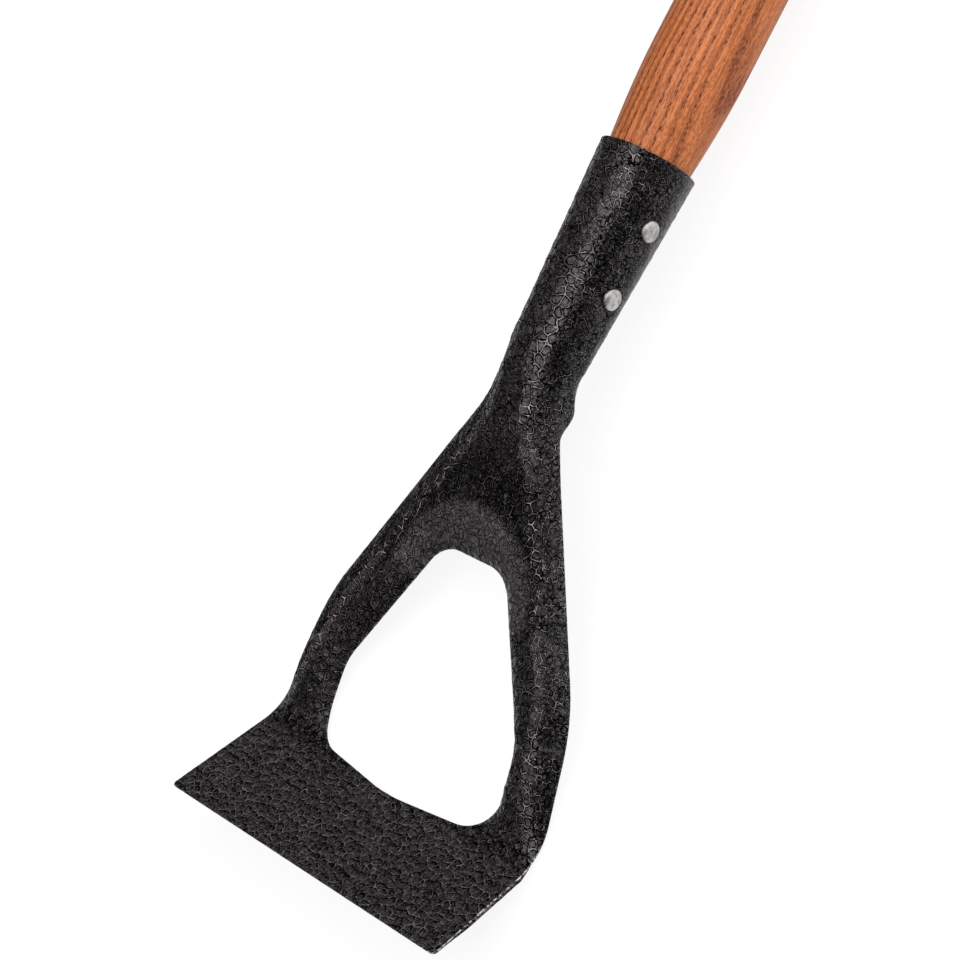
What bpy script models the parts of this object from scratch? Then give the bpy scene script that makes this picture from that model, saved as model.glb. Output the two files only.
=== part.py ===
# Dutch hoe: a pressed steel head with a rolled socket, an ash shaft and two rivets.
#
# The head is one sheet of steel. A place on it is given as on the flat sheet: x across, and s
# along it from the bend behind the blade, so that s is below zero on the blade and grows up
# the arms, the neck and the socket. The bends curve that flat sheet in the side view, the
# crown raises it between its edges, and the neck rolls it round until the edges meet behind.
# The hoe is modelled with its blade flat, and then tipped back until it lies on the floor.
import math

import bmesh
import bpy
import numpy as np
from mathutils import Matrix

# Blade
BLADE_WIDTH = 0.127
BLADE_DEPTH = 0.0335
BLADE_SIDE_TAPER = 0.0017
BLADE_CORNER_RADIUS = 0.0015
BLADE_THICKNESS = 0.0024
EDGE_THICKNESS = 0.0011
EDGE_BEVEL_LENGTH = 0.015

# Side view: the bend behind the blade, straight arms, and the neck's slower bend back
BEND_RADIUS = 0.0197
ARM_ANGLE = math.radians(46.73)
SOCKET_ANGLE = math.radians(33.24)

# Lengths along the sheet above the bend
OPENING_FOOT = 0.0011
OPENING_LENGTH = 0.0726
WEB_LENGTH = 0.026
NECK_LENGTH = 0.0415
SOCKET_LENGTH = 0.0565

# Outer edge of the arms and the neck
SHOULDER_INSET = 0.0054
SHOULDER_AT = 0.0444
SHOULDER_RADIUS = 0.056
ARM_FOOT_RADIUS = 0.019
NECK_WAIST = 0.0003
NECK_CORNER_BELOW_SOCKET = 0.0157
NECK_CORNER_RADIUS = 0.028

# Opening between the arms: its foot, its widest corner, its side and its rounded top
ARM_FOOT_WIDTH = 0.0213
OPENING_FOOT_HALF_FLAT = 0.0042
OPENING_FOOT_RADIUS = 0.060
OPENING_CORNER_RISE = 0.004
OPENING_CORNER_RADIUS = 0.0128
ARM_WIDTH = 0.0167
OPENING_SIDE_AT = 0.0296
OPENING_SIDE_RADIUS = 0.019
OPENING_TOP_HALF_WIDTH = 0.0142
OPENING_TOP_RADIUS = 0.013

# Height of the sheet's crown over its edges, from the arms' foot to the neck
FOOT_CROWN = 0.0043
ARM_CROWN = 0.0037
CROTCH_CROWN = 0.005
WEB_CROWN = 0.0047
NECK_CROWN = 0.009
FOOT_CROWN_AT = 0.015
ARM_CROWN_AT = 0.045
CROTCH_CROWN_ABOVE_OPENING = 0.005
WEB_CROWN_ABOVE_WEB = 0.004
NECK_CROWN_BELOW_SOCKET = 0.021

# Shape of the crown: a shallow one is an even curve, and a deep one is flatter on top
SHALLOW_FULLNESS = 0.80
DEEP_FULLNESS = 0.985
DEEP_CROWN = 0.006
INNER_ROLL_SHARE = 0.9
CROTCH_ROLL = 0.017
CROTCH_BLEND_BELOW = 0.022
CROTCH_BLEND_ABOVE = 0.004

# Socket, rolled from the neck until its edges meet in a seam behind
SOCKET_FOOT_RADIUS = 0.0121
SOCKET_MOUTH_RADIUS = 0.0149
SOCKET_WALL = 0.0019
ROLL_START_BELOW_SOCKET = 0.0275
ROLL_END_BELOW_SOCKET = 0.0078
WALL_THINS_BELOW_SOCKET = 0.046
SEAM_GAP = 0.0008

# Shaft
SHAFT_RADIUS = 0.0146
SHAFT_LENGTH = 1.330
SHAFT_SHOULDER_LENGTH = 0.032
SHAFT_END_ROUNDING = 0.007
TENON_CHAMFER = 0.002
TENON_SHORT_OF_NECK = 0.002

# Rivets
RIVET_SHANK_RADIUS = 0.0022
RIVET_HEAD_RADIUS = 0.0031
RIVET_HEAD_HEIGHT = 0.0012
RIVET_RIM_HEIGHT = 0.0002
UPPER_RIVET_FROM_MOUTH = 0.0195
LOWER_RIVET_FROM_MOUTH = 0.0412

# Gap between pieces that touch
FIT_CLEARANCE = 0.0003

# Facets
OUTLINE_STEP = 0.0045
ACROSS_STEPS = 9
HALF_SOCKET_SIDES = 16
NECK_STEPS = 18
SOCKET_STEPS = 6
SHAFT_SIDES = 32
RIVET_SIDES = 24
ARC_STEPS = 4
FINE_STEP = 0.0005

OPENING_TOP_AT = OPENING_FOOT + OPENING_LENGTH
RAY_CENTRE_AT = OPENING_FOOT + 0.5 * OPENING_LENGTH
NECK_AT = OPENING_TOP_AT + WEB_LENGTH
SOCKET_FOOT_AT = NECK_AT + NECK_LENGTH
SOCKET_MOUTH_AT = SOCKET_FOOT_AT + SOCKET_LENGTH
FOOT_HALF_WIDTH = 0.5 * BLADE_WIDTH - BLADE_SIDE_TAPER
SHOULDER_HALF_WIDTH = FOOT_HALF_WIDTH - SHOULDER_INSET

OUTLINE_CORNERS = [
    (0.0, -BLADE_DEPTH, 0.0),
    (0.5 * BLADE_WIDTH, -BLADE_DEPTH, BLADE_CORNER_RADIUS),
    (FOOT_HALF_WIDTH, 0.0, ARM_FOOT_RADIUS),
    (SHOULDER_HALF_WIDTH, SHOULDER_AT, SHOULDER_RADIUS),
    (SOCKET_FOOT_RADIUS - NECK_WAIST, SOCKET_FOOT_AT - NECK_CORNER_BELOW_SOCKET, NECK_CORNER_RADIUS),
    (SOCKET_FOOT_RADIUS, SOCKET_FOOT_AT, 0.0),
]
OPENING_CORNERS = [
    (0.0, OPENING_FOOT, 0.0),
    (OPENING_FOOT_HALF_FLAT, OPENING_FOOT, OPENING_FOOT_RADIUS),
    (FOOT_HALF_WIDTH - ARM_FOOT_WIDTH, OPENING_FOOT + OPENING_CORNER_RISE, OPENING_CORNER_RADIUS),
    (SHOULDER_HALF_WIDTH - ARM_WIDTH, OPENING_SIDE_AT, OPENING_SIDE_RADIUS),
    (OPENING_TOP_HALF_WIDTH, OPENING_TOP_AT, OPENING_TOP_RADIUS),
    (0.0, OPENING_TOP_AT, 0.0),
]
CROWN_STATIONS = [
    (0.0, 0.0),
    (FOOT_CROWN_AT, FOOT_CROWN),
    (ARM_CROWN_AT, ARM_CROWN),
    (OPENING_TOP_AT + CROTCH_CROWN_ABOVE_OPENING, CROTCH_CROWN),
    (NECK_AT + WEB_CROWN_ABOVE_WEB, WEB_CROWN),
    (SOCKET_FOOT_AT - NECK_CROWN_BELOW_SOCKET, NECK_CROWN),
    (SOCKET_FOOT_AT, SOCKET_FOOT_RADIUS),
]
BENDS = [
    (BEND_RADIUS * ARM_ANGLE, ARM_ANGLE),
    (NECK_AT - BEND_RADIUS * ARM_ANGLE, 0.0),
    (NECK_LENGTH, SOCKET_ANGLE - ARM_ANGLE),
    (SOCKET_LENGTH, 0.0),
]


def eased(low, high, value):
    """0 below low, 1 above high, and a smooth ramp between them."""
    share = np.clip((value - low) / (high - low), 0.0, 1.0)
    return share * share * (3.0 - 2.0 * share)


def through(stations, position):
    """A smooth curve through stations, each a position and a value."""
    at, value = np.array(stations).T
    slope = np.gradient(value, at)
    slope[0] = (value[1] - value[0]) / (at[1] - at[0])
    slope[-1] = 0.0
    position = np.clip(position, at[0], at[-1])
    i = np.clip(np.searchsorted(at, position, side="right") - 1, 0, len(at) - 2)
    span = at[i + 1] - at[i]
    t = (position - at[i]) / span
    return (
        value[i] * (1 + 2 * t) * (1 - t) ** 2
        + span * slope[i] * t * (1 - t) ** 2
        + value[i + 1] * t * t * (3 - 2 * t)
        + span * slope[i + 1] * t * t * (t - 1)
    )


def rounded(corners, step):
    """Points no further apart than step along corners (x, s, radius) joined by arcs.

    Where a side is too short for its arcs, each arc takes at most half of the side.
    """
    points = [np.array(corners[0][:2])]
    for before, corner, after in zip(corners, corners[1:], corners[2:]):
        middle = np.array(corner[:2])
        back = np.array(before[:2]) - middle
        on = np.array(after[:2]) - middle
        shortest = min(np.linalg.norm(back), np.linalg.norm(on))
        back /= np.linalg.norm(back)
        on /= np.linalg.norm(on)
        half = 0.5 * math.acos(float(np.clip(back @ on, -1.0, 1.0)))
        reach = min(corner[2] / math.tan(half), 0.5 * shortest)
        centre = middle + (back + on) * reach / (1.0 + back @ on)
        spoke = middle + back * reach - centre
        turn = math.copysign(math.pi - 2.0 * half, on[0] * back[1] - on[1] * back[0])
        for k in range(ARC_STEPS + 1):
            cos, sin = math.cos(turn * k / ARC_STEPS), math.sin(turn * k / ARC_STEPS)
            points.append(centre + (cos * spoke[0] - sin * spoke[1], sin * spoke[0] + cos * spoke[1]))
    points.append(np.array(corners[-1][:2]))
    rows = [np.array(points[:1])]
    for start, end in zip(points, points[1:]):
        count = max(1, math.ceil(np.linalg.norm(end - start) / step))
        share = np.arange(1, count + 1)[:, None] / count
        rows.append(start + (end - start) * share)
    return np.concatenate(rows)


OUTLINE = rounded(OUTLINE_CORNERS, FINE_STEP)
OPENING = rounded(OPENING_CORNERS, FINE_STEP)


def polar(points):
    """Angle and distance of points (x, s) seen from the middle of the opening."""
    x, s = np.asarray(points).T
    return np.arctan2(s - RAY_CENTRE_AT, x), np.hypot(x, s - RAY_CENTRE_AT)


def bent(s):
    """The sheet's middle line in the side view: y, z and the angle of its slope at s."""
    s = np.asarray(s, dtype=float)
    y = BLADE_DEPTH + np.minimum(s, 0.0)
    z = np.zeros(s.shape)
    slope = np.zeros(s.shape)
    left = np.maximum(s, 0.0)
    for length, turn in BENDS:
        run = np.clip(left, 0.0, length)
        turned = turn * run / length
        chord = run * np.sinc(turned / (2.0 * np.pi))
        y = y + chord * np.cos(slope + 0.5 * turned)
        z = z + chord * np.sin(slope + 0.5 * turned)
        slope = slope + turned
        left = left - run
    return y, z, slope


def placed(x, s, rise):
    """Points of the bent sheet at (x, s), raised at right angles to it."""
    y, z, slope = bent(s)
    return np.stack([x, y - rise * np.sin(slope), z + rise * np.cos(slope)], axis=-1)


def fullness(crown):
    """How far round an ellipse the crown's curve goes: 1 is a quarter turn to each side."""
    return SHALLOW_FULLNESS + (DEEP_FULLNESS - SHALLOW_FULLNESS) * eased(0.0, DEEP_CROWN, crown)


def roll(share, crown):
    """Share of the crown's height that is reached at a share of the way in from an edge."""
    full = fullness(crown)
    foot = np.sqrt(1.0 - full * full)
    return (np.sqrt(1.0 - ((1.0 - np.clip(share, 0.0, 1.0)) * full) ** 2) - foot) / (1.0 - foot)


def rays_and_columns():
    """Angles of the lines that run out over the sheet, and the neck columns that some meet.

    A line ends at each point of the outer edge, and then at each column of the neck.
    """
    edge = rounded(OUTLINE_CORNERS, OUTLINE_STEP)
    edge = edge[edge[:, 1] < NECK_AT - 0.5 * OUTLINE_STEP]
    columns = np.linspace(1.0, 0.0, HALF_SOCKET_SIDES + 1)
    full = float(fullness(through(CROWN_STATIONS, NECK_AT)))
    across = np.sin(math.asin(full) * columns) / full
    neck_row = np.stack([across * outer_edge(NECK_AT), np.full(len(columns), NECK_AT)], axis=-1)
    return np.concatenate([polar(edge)[0], polar(neck_row)[0]]), columns


def outer_edge(s):
    """Half width of the sheet at s, above the cutting edge."""
    side = OUTLINE[OUTLINE[:, 1] > -BLADE_DEPTH]
    return np.interp(s, side[:, 1], side[:, 0])


def inner_edge(s):
    """Half width of the opening at s, and 0 above it."""
    side = OPENING[np.argmax(OPENING[:, 0]):]
    return np.where(s < OPENING_TOP_AT, np.interp(s, side[:, 1], side[:, 0]), 0.0)


def crown_height(x, s):
    """Height of the crowned blade, arms and web over the flat sheet at (x, s)."""
    crown = np.where(s > 0.0, through(CROWN_STATIONS, s), 0.0)
    opening_angle, opening_reach = polar(OPENING)
    angle, distance = polar(np.stack([np.ravel(x), np.ravel(s)], axis=-1))
    reach = np.interp(angle, opening_angle, opening_reach)
    nudge = math.radians(1.0)
    ahead = np.interp(angle + nudge, opening_angle, opening_reach)
    behind = np.interp(angle - nudge, opening_angle, opening_reach)
    slant = (ahead - behind) / (2.0 * nudge * reach)
    from_opening = ((distance - reach) / np.sqrt(1.0 + slant * slant)).reshape(np.shape(x))
    half_arm = 0.5 * (outer_edge(s) - inner_edge(s))
    web = eased(OPENING_TOP_AT - CROTCH_BLEND_BELOW, OPENING_TOP_AT + CROTCH_BLEND_ABOVE, s)
    inner_roll = INNER_ROLL_SHARE * half_arm * (1.0 - web) + CROTCH_ROLL * web
    outer_roll = half_arm * (1.0 - web) + outer_edge(s) * web
    inner_share = np.clip(from_opening / inner_roll, 0.0, 1.0)
    inner_share = inner_share + (1.0 - inner_share) * eased(OPENING_TOP_AT, NECK_AT, s)
    return crown * roll(inner_share, crown) * roll((outer_edge(s) - x) / outer_roll, crown)


def lower_sheet(angles):
    """Grid of the blade, the arms and the web: a row of points along each line, and their s."""
    edge = OUTLINE[OUTLINE[:, 1] < NECK_AT]
    top = np.linspace([outer_edge(NECK_AT), NECK_AT], [0.0, NECK_AT], 200)
    edge_angle, edge_reach = polar(np.concatenate([edge, top]))
    opening_angle, opening_reach = polar(OPENING)
    start = np.interp(angles, opening_angle, opening_reach)[:, None]
    end = np.interp(angles, edge_angle, edge_reach)[:, None]
    along = np.linspace(0.0, 1.0, 121)[None, :]
    distance = start + (end - start) * along
    s = RAY_CENTRE_AT + distance * np.sin(angles)[:, None]
    x = np.maximum(distance * np.cos(angles)[:, None], 0.0)
    points = placed(x, s, crown_height(x, s))
    steps = np.linspace(0.0, 1.0, ACROSS_STEPS + 1)
    rows, row_s = [], []
    for line, line_s in zip(points, s):
        length = np.concatenate([[0.0], np.cumsum(np.linalg.norm(np.diff(line, axis=0), axis=1))])
        length /= length[-1]
        rows.append(np.stack([np.interp(steps, length, line[:, k]) for k in range(3)], axis=-1))
        row_s.append(np.interp(steps, length, line_s))
    return np.array(rows), np.array(row_s)


def socket_radius(s):
    """Outer radius of the socket at s, which widens towards its mouth."""
    share = (s - SOCKET_FOOT_AT) / SOCKET_LENGTH
    return SOCKET_FOOT_RADIUS + (SOCKET_MOUTH_RADIUS - SOCKET_FOOT_RADIUS) * np.clip(share, 0.0, 1.0)


def neck_and_socket(columns):
    """Grid of the neck and the socket, and the s of its rows.

    Each row is an arc of an ellipse from the sheet's outer edge, column 1, to its middle,
    column 0. Up the neck the arc goes on round, until it is the socket's circle.
    """
    neck_rows = np.linspace(NECK_AT, SOCKET_FOOT_AT, NECK_STEPS + 1)
    rows = np.concatenate([neck_rows, np.linspace(SOCKET_FOOT_AT, SOCKET_MOUTH_AT, SOCKET_STEPS + 1)[1:]])
    full = float(fullness(through(CROWN_STATIONS, NECK_AT)))
    foot = math.sqrt(1.0 - full * full)
    start, end = SOCKET_FOOT_AT - ROLL_START_BELOW_SOCKET, SOCKET_FOOT_AT - ROLL_END_BELOW_SOCKET
    rolled = eased(start, end, rows)
    on_socket = rows > SOCKET_FOOT_AT
    half_width = np.where(on_socket, socket_radius(rows), outer_edge(rows))
    crown = np.where(on_socket, socket_radius(rows), through(CROWN_STATIONS, rows))
    across = half_width * ((1.0 - rolled) / full + rolled)
    up = crown * ((1.0 - rolled) / (1.0 - foot) + rolled)
    seam_angle = math.pi - 0.5 * SEAM_GAP / SOCKET_FOOT_RADIUS
    end_angle = math.acos(foot) * (1.0 - rolled) + seam_angle * rolled
    angle = end_angle[:, None] * columns[None, :]
    rise = up[:, None] * (np.cos(angle) - (foot * (1.0 - rolled))[:, None])
    return placed(across[:, None] * np.sin(angle), np.repeat(rows[:, None], len(columns), 1), rise), rows


def sheet_thickness(s):
    """Thickness of the steel: thin at the cutting edge, full on the arms, drawn out in the socket."""
    at_edge = 1.0 - eased(-BLADE_DEPTH, EDGE_BEVEL_LENGTH - BLADE_DEPTH, s)
    thins = eased(SOCKET_FOOT_AT - WALL_THINS_BELOW_SOCKET, SOCKET_FOOT_AT - ROLL_END_BELOW_SOCKET, s)
    return (
        BLADE_THICKNESS
        - (BLADE_THICKNESS - EDGE_THICKNESS) * at_edge
        - (BLADE_THICKNESS - SOCKET_WALL) * thins
    )


def clear_scene():
    """Remove every object that the file starts with."""
    for thing in list(bpy.data.objects):
        bpy.data.objects.remove(thing)


def make_material(name, colour, metallic, roughness):
    """A plain material with the finish of one piece."""
    material = bpy.data.materials.new(name)
    material.use_nodes = True
    shader = material.node_tree.nodes["Principled BSDF"]
    shader.inputs["Base Color"].default_value = (*colour, 1.0)
    shader.inputs["Metallic"].default_value = metallic
    shader.inputs["Roughness"].default_value = roughness
    return material


def add_object(name, mesh, material, parent):
    """Put a mesh in the scene under its parent."""
    piece = bpy.data.objects.new(name, mesh)
    if material:
        mesh.materials.append(material)
    piece.parent = parent
    bpy.context.collection.objects.link(piece)
    return piece


def mirror_across_x(piece):
    """Complete a piece whose half at +X is modelled."""
    mirror = piece.modifiers.new("Other half", "MIRROR")
    mirror.merge_threshold = 0.00005


def cut(piece, cutter):
    """Take a cutter's shape out of a piece."""
    hole = piece.modifiers.new("Hole", "BOOLEAN")
    hole.operation = "DIFFERENCE"
    hole.solver = "EXACT"
    hole.object = cutter


def finish_mesh(piece, sharp_angle):
    """Apply a piece's modifiers and shade it smooth between its sharp edges."""
    graph = bpy.context.evaluated_depsgraph_get()
    mesh = bpy.data.meshes.new_from_object(piece.evaluated_get(graph))
    piece.modifiers.clear()
    piece.data = mesh
    mesh.name = piece.name
    mesh.shade_smooth()
    mesh.set_sharp_from_angle(angle=sharp_angle)


def make_head(material, parent, cutters):
    """The head: half of the sheet's front face, mirrored, thickened and drilled."""
    angles, columns = rays_and_columns()
    lower, lower_s = lower_sheet(angles)
    upper, upper_s = neck_and_socket(columns)
    ray_count, across_count = lower_s.shape
    lower_index = np.arange(lower_s.size).reshape(lower_s.shape)
    shared_row = lower_index[ray_count - len(columns):, -1]
    new_rows = lower_s.size + np.arange((len(upper_s) - 1) * len(columns)).reshape(-1, len(columns))
    upper_index = np.concatenate([shared_row[None, :], new_rows])
    points = np.concatenate([lower.reshape(-1, 3), upper[1:].reshape(-1, 3)])
    along = np.concatenate([lower_s.ravel(), np.repeat(upper_s[1:], len(columns))])
    faces = []
    for grid in (lower_index, upper_index.T):
        corners = np.stack([grid[:-1, :-1], grid[:-1, 1:], grid[1:, 1:], grid[1:, :-1]], axis=-1)
        faces += corners.reshape(-1, 4).tolist()
    mesh = bpy.data.meshes.new("hoe_head")
    mesh.from_pydata(points.tolist(), [], faces)
    head = add_object("hoe_head", mesh, material, parent)
    group = head.vertex_groups.new(name="Thickness")
    for index, share in enumerate(sheet_thickness(along) / BLADE_THICKNESS):
        group.add([index], float(share), "REPLACE")
    mirror_across_x(head)
    sheet = head.modifiers.new("Sheet", "SOLIDIFY")
    sheet.thickness = BLADE_THICKNESS
    sheet.offset = -1.0
    sheet.vertex_group = group.name
    for cutter in cutters:
        cut(head, cutter)
    finish_mesh(head, math.radians(50.0))
    return head


def socket_frame(from_mouth):
    """Location on the socket's axis and rotation that lays local Y along that axis."""
    y, z, slope = bent(SOCKET_MOUTH_AT - from_mouth)
    return (0.0, float(y), float(z)), (float(slope), 0.0, 0.0)


def place_on_socket(piece, from_mouth):
    """Move a piece that is modelled along local Y to its place on the socket's axis."""
    piece.location, piece.rotation_euler = socket_frame(from_mouth)


def make_rivet_cutter(name, from_mouth, parent):
    """Guide that drills the rivet's hole through the socket and the tenon."""
    form = bmesh.new()
    bmesh.ops.create_cone(
        form,
        cap_ends=True,
        segments=RIVET_SIDES,
        radius1=RIVET_SHANK_RADIUS + FIT_CLEARANCE,
        radius2=RIVET_SHANK_RADIUS + FIT_CLEARANCE,
        depth=4.0 * SOCKET_MOUTH_RADIUS,
    )
    bmesh.ops.rotate(form, verts=form.verts, matrix=Matrix.Rotation(0.5 * math.pi, 3, "Y"))
    mesh = bpy.data.meshes.new(name)
    form.to_mesh(mesh)
    form.free()
    cutter = add_object(name, mesh, None, parent)
    place_on_socket(cutter, from_mouth)
    cutter.hide_render = True
    cutter.display_type = "WIRE"
    return cutter


def make_rivet(name, from_mouth, material, parent):
    """A rivet across the socket, whose domed heads hug the socket's round outside."""
    turn = np.linspace(0.0, 2.0 * np.pi, RIVET_SIDES, endpoint=False)
    widening = (SOCKET_MOUTH_RADIUS - SOCKET_FOOT_RADIUS) / SOCKET_LENGTH
    seat = socket_radius(SOCKET_MOUTH_AT - from_mouth) + FIT_CLEARANCE
    top = seat + RIVET_HEAD_HEIGHT

    def ring(radius, lift):
        """Ring of points on the socket's surface, lifted a share of the way to the head's top."""
        along, up = radius * np.cos(turn), radius * np.sin(turn)
        surface = np.sqrt((seat + widening * along) ** 2 - up**2)
        return np.stack([surface + (top - surface) * lift, along, up], axis=-1)

    waist = ring(RIVET_SHANK_RADIUS, 0.0)
    waist[:, 0] = 0.0
    rim = RIVET_RIM_HEIGHT / RIVET_HEAD_HEIGHT
    rings = [waist, ring(RIVET_SHANK_RADIUS, 0.0), ring(RIVET_HEAD_RADIUS, 0.0)]
    for rise in np.radians([0.0, 20.0, 40.0, 60.0, 78.0]):
        rings.append(ring(RIVET_HEAD_RADIUS * math.cos(rise), rim + (1.0 - rim) * math.sin(rise)))
    form = bmesh.new()
    loops = [[form.verts.new(point) for point in points] for points in rings]
    for loop, after in zip(loops, loops[1:]):
        for k in range(RIVET_SIDES):
            following = (k + 1) % RIVET_SIDES
            form.faces.new([loop[k], loop[following], after[following], after[k]])
    form.faces.new(loops[-1])
    mesh = bpy.data.meshes.new(name)
    form.to_mesh(mesh)
    form.free()
    rivet = add_object(name, mesh, material, parent)
    place_on_socket(rivet, from_mouth)
    mirror_across_x(rivet)
    finish_mesh(rivet, math.radians(40.0))
    return rivet


def shaft_profile():
    """Radius and place along the shaft, from the tenon's end to the rounded top."""
    tenon_length = SOCKET_LENGTH - TENON_SHORT_OF_NECK

    def tenon_radius(along):
        return float(socket_radius(SOCKET_MOUTH_AT + along)) - SOCKET_WALL - FIT_CLEARANCE

    profile = [
        (0.0, -tenon_length),
        (tenon_radius(-tenon_length) - TENON_CHAMFER, -tenon_length),
        (tenon_radius(TENON_CHAMFER - tenon_length), TENON_CHAMFER - tenon_length),
    ]
    mouth_radius = tenon_radius(0.0)
    for share in np.linspace(0.0, 1.0, 9):
        radius = mouth_radius + (SHAFT_RADIUS - mouth_radius) * math.sin(0.5 * math.pi * share)
        profile.append((radius, SHAFT_SHOULDER_LENGTH * share))
    for turn in np.radians([0.0, 18.0, 36.0, 54.0, 72.0]):
        radius = SHAFT_RADIUS - SHAFT_END_ROUNDING * (1.0 - math.cos(turn))
        profile.append((radius, SHAFT_LENGTH - SHAFT_END_ROUNDING * (1.0 - math.sin(turn))))
    profile.append((SHAFT_RADIUS - SHAFT_END_ROUNDING, SHAFT_LENGTH))
    profile.append((0.0, SHAFT_LENGTH))
    return profile


def make_shaft(material, parent, cutters):
    """The ash shaft, turned about local Y, with a tenon that fills the socket."""
    form = bmesh.new()
    verts = [form.verts.new((radius, along, 0.0)) for radius, along in shaft_profile()]
    edges = [form.edges.new(pair) for pair in zip(verts, verts[1:])]
    bmesh.ops.spin(
        form,
        geom=verts + edges,
        cent=(0.0, 0.0, 0.0),
        axis=(0.0, 1.0, 0.0),
        angle=2.0 * math.pi,
        steps=SHAFT_SIDES,
        use_merge=True,
    )
    bmesh.ops.remove_doubles(form, verts=form.verts, dist=0.00001)
    bmesh.ops.recalc_face_normals(form, faces=form.faces)
    mesh = bpy.data.meshes.new("shaft")
    form.to_mesh(mesh)
    form.free()
    shaft = add_object("shaft", mesh, material, parent)
    place_on_socket(shaft, 0.0)
    for cutter in cutters:
        cut(shaft, cutter)
    finish_mesh(shaft, math.radians(35.0))
    return shaft


def points_of(piece):
    """Y and Z of a piece's points under its parent."""
    return np.array([(piece.matrix_basis @ vertex.co)[1:] for vertex in piece.data.vertices])


def lay_on_floor(hoe, head, shaft):
    """Tip the hoe back until its cutting edge and its shaft's far end are level, on the floor."""
    head_points, shaft_points = points_of(head), points_of(shaft)

    def lowest(points, tilt):
        return float((points[:, 1] * math.cos(tilt) - points[:, 0] * math.sin(tilt)).min())

    low, high = 0.0, SOCKET_ANGLE + math.radians(20.0)
    for _ in range(60):
        tilt = 0.5 * (low + high)
        if lowest(shaft_points, tilt) > lowest(head_points, tilt):
            low = tilt
        else:
            high = tilt
    both = np.concatenate([head_points, shaft_points])
    ahead = both[:, 0] * math.cos(tilt) + both[:, 1] * math.sin(tilt)
    hoe.rotation_euler = (-tilt, 0.0, 0.0)
    hoe.location = (0.0, -0.5 * float(ahead.min() + ahead.max()), -lowest(both, tilt))


def main():
    """Build the hoe, with the middle of the floor under it as the origin."""
    clear_scene()
    coat = make_material("Black hammered coat", (0.035, 0.036, 0.038), 0.3, 0.45)
    ash = make_material("Oiled ash", (0.55, 0.30, 0.16), 0.0, 0.5)
    steel = make_material("Bare rivet steel", (0.72, 0.71, 0.69), 1.0, 0.4)
    hoe = bpy.data.objects.new("hoe", None)
    bpy.context.collection.objects.link(hoe)
    rivets = {"upper": UPPER_RIVET_FROM_MOUTH, "lower": LOWER_RIVET_FROM_MOUTH}
    cutters = [make_rivet_cutter(f"{name}_rivet_hole", at, hoe) for name, at in rivets.items()]
    head = make_head(coat, hoe, cutters)
    shaft = make_shaft(ash, hoe, cutters)
    for name, at in rivets.items():
        make_rivet(f"{name}_rivet", at, steel, hoe)
    for cutter in cutters:
        bpy.data.objects.remove(cutter)
    lay_on_floor(hoe, head, shaft)


main()
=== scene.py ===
"""Looks of a dutch hoe that lies on the floor, seen from its side and from above.

The head is one pressed steel sheet with a black hammered coat. A place on it is given as on
the flat sheet, as in the CAD source: x across, and s along it from the bend behind the blade,
so that s is below zero on the blade and grows up the arms, the neck and the socket. Each mesh
is made with the blade flat, and then tipped back to where the CAD model lies.
"""
import logging
import math
from dataclasses import dataclass
from enum import Enum
from typing import Any

import bmesh
import bpy
import numpy as np
from mathutils import Matrix, Vector, noise


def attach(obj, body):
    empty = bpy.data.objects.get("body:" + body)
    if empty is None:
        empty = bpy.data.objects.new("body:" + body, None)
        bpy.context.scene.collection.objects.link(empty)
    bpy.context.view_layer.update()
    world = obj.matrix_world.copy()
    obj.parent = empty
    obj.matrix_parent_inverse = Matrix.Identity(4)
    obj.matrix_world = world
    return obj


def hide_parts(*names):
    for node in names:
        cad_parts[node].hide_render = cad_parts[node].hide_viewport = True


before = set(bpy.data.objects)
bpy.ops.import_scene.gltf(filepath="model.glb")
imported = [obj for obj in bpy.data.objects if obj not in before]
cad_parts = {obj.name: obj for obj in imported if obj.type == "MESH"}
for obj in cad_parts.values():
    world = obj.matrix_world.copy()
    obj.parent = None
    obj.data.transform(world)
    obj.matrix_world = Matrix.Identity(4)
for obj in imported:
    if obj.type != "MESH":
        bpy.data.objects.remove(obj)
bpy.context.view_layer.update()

LOG = logging.getLogger("dutch_hoe")
BODY = "root"
ROUNDING_TURNS = np.radians([0.0, 30.0, 60.0])


class Blend(Enum):
    """What a Mix node blends, with the places of its A, B and result sockets."""

    VALUE = ("FLOAT", 2, 3, 0)
    COLOUR = ("RGBA", 6, 7, 2)


class Drilling(Enum):
    """Which Boolean solver cuts a piece's holes."""

    FINE_SHEET = "MANIFOLD"
    SOLID_WOOD = "EXACT"


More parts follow.
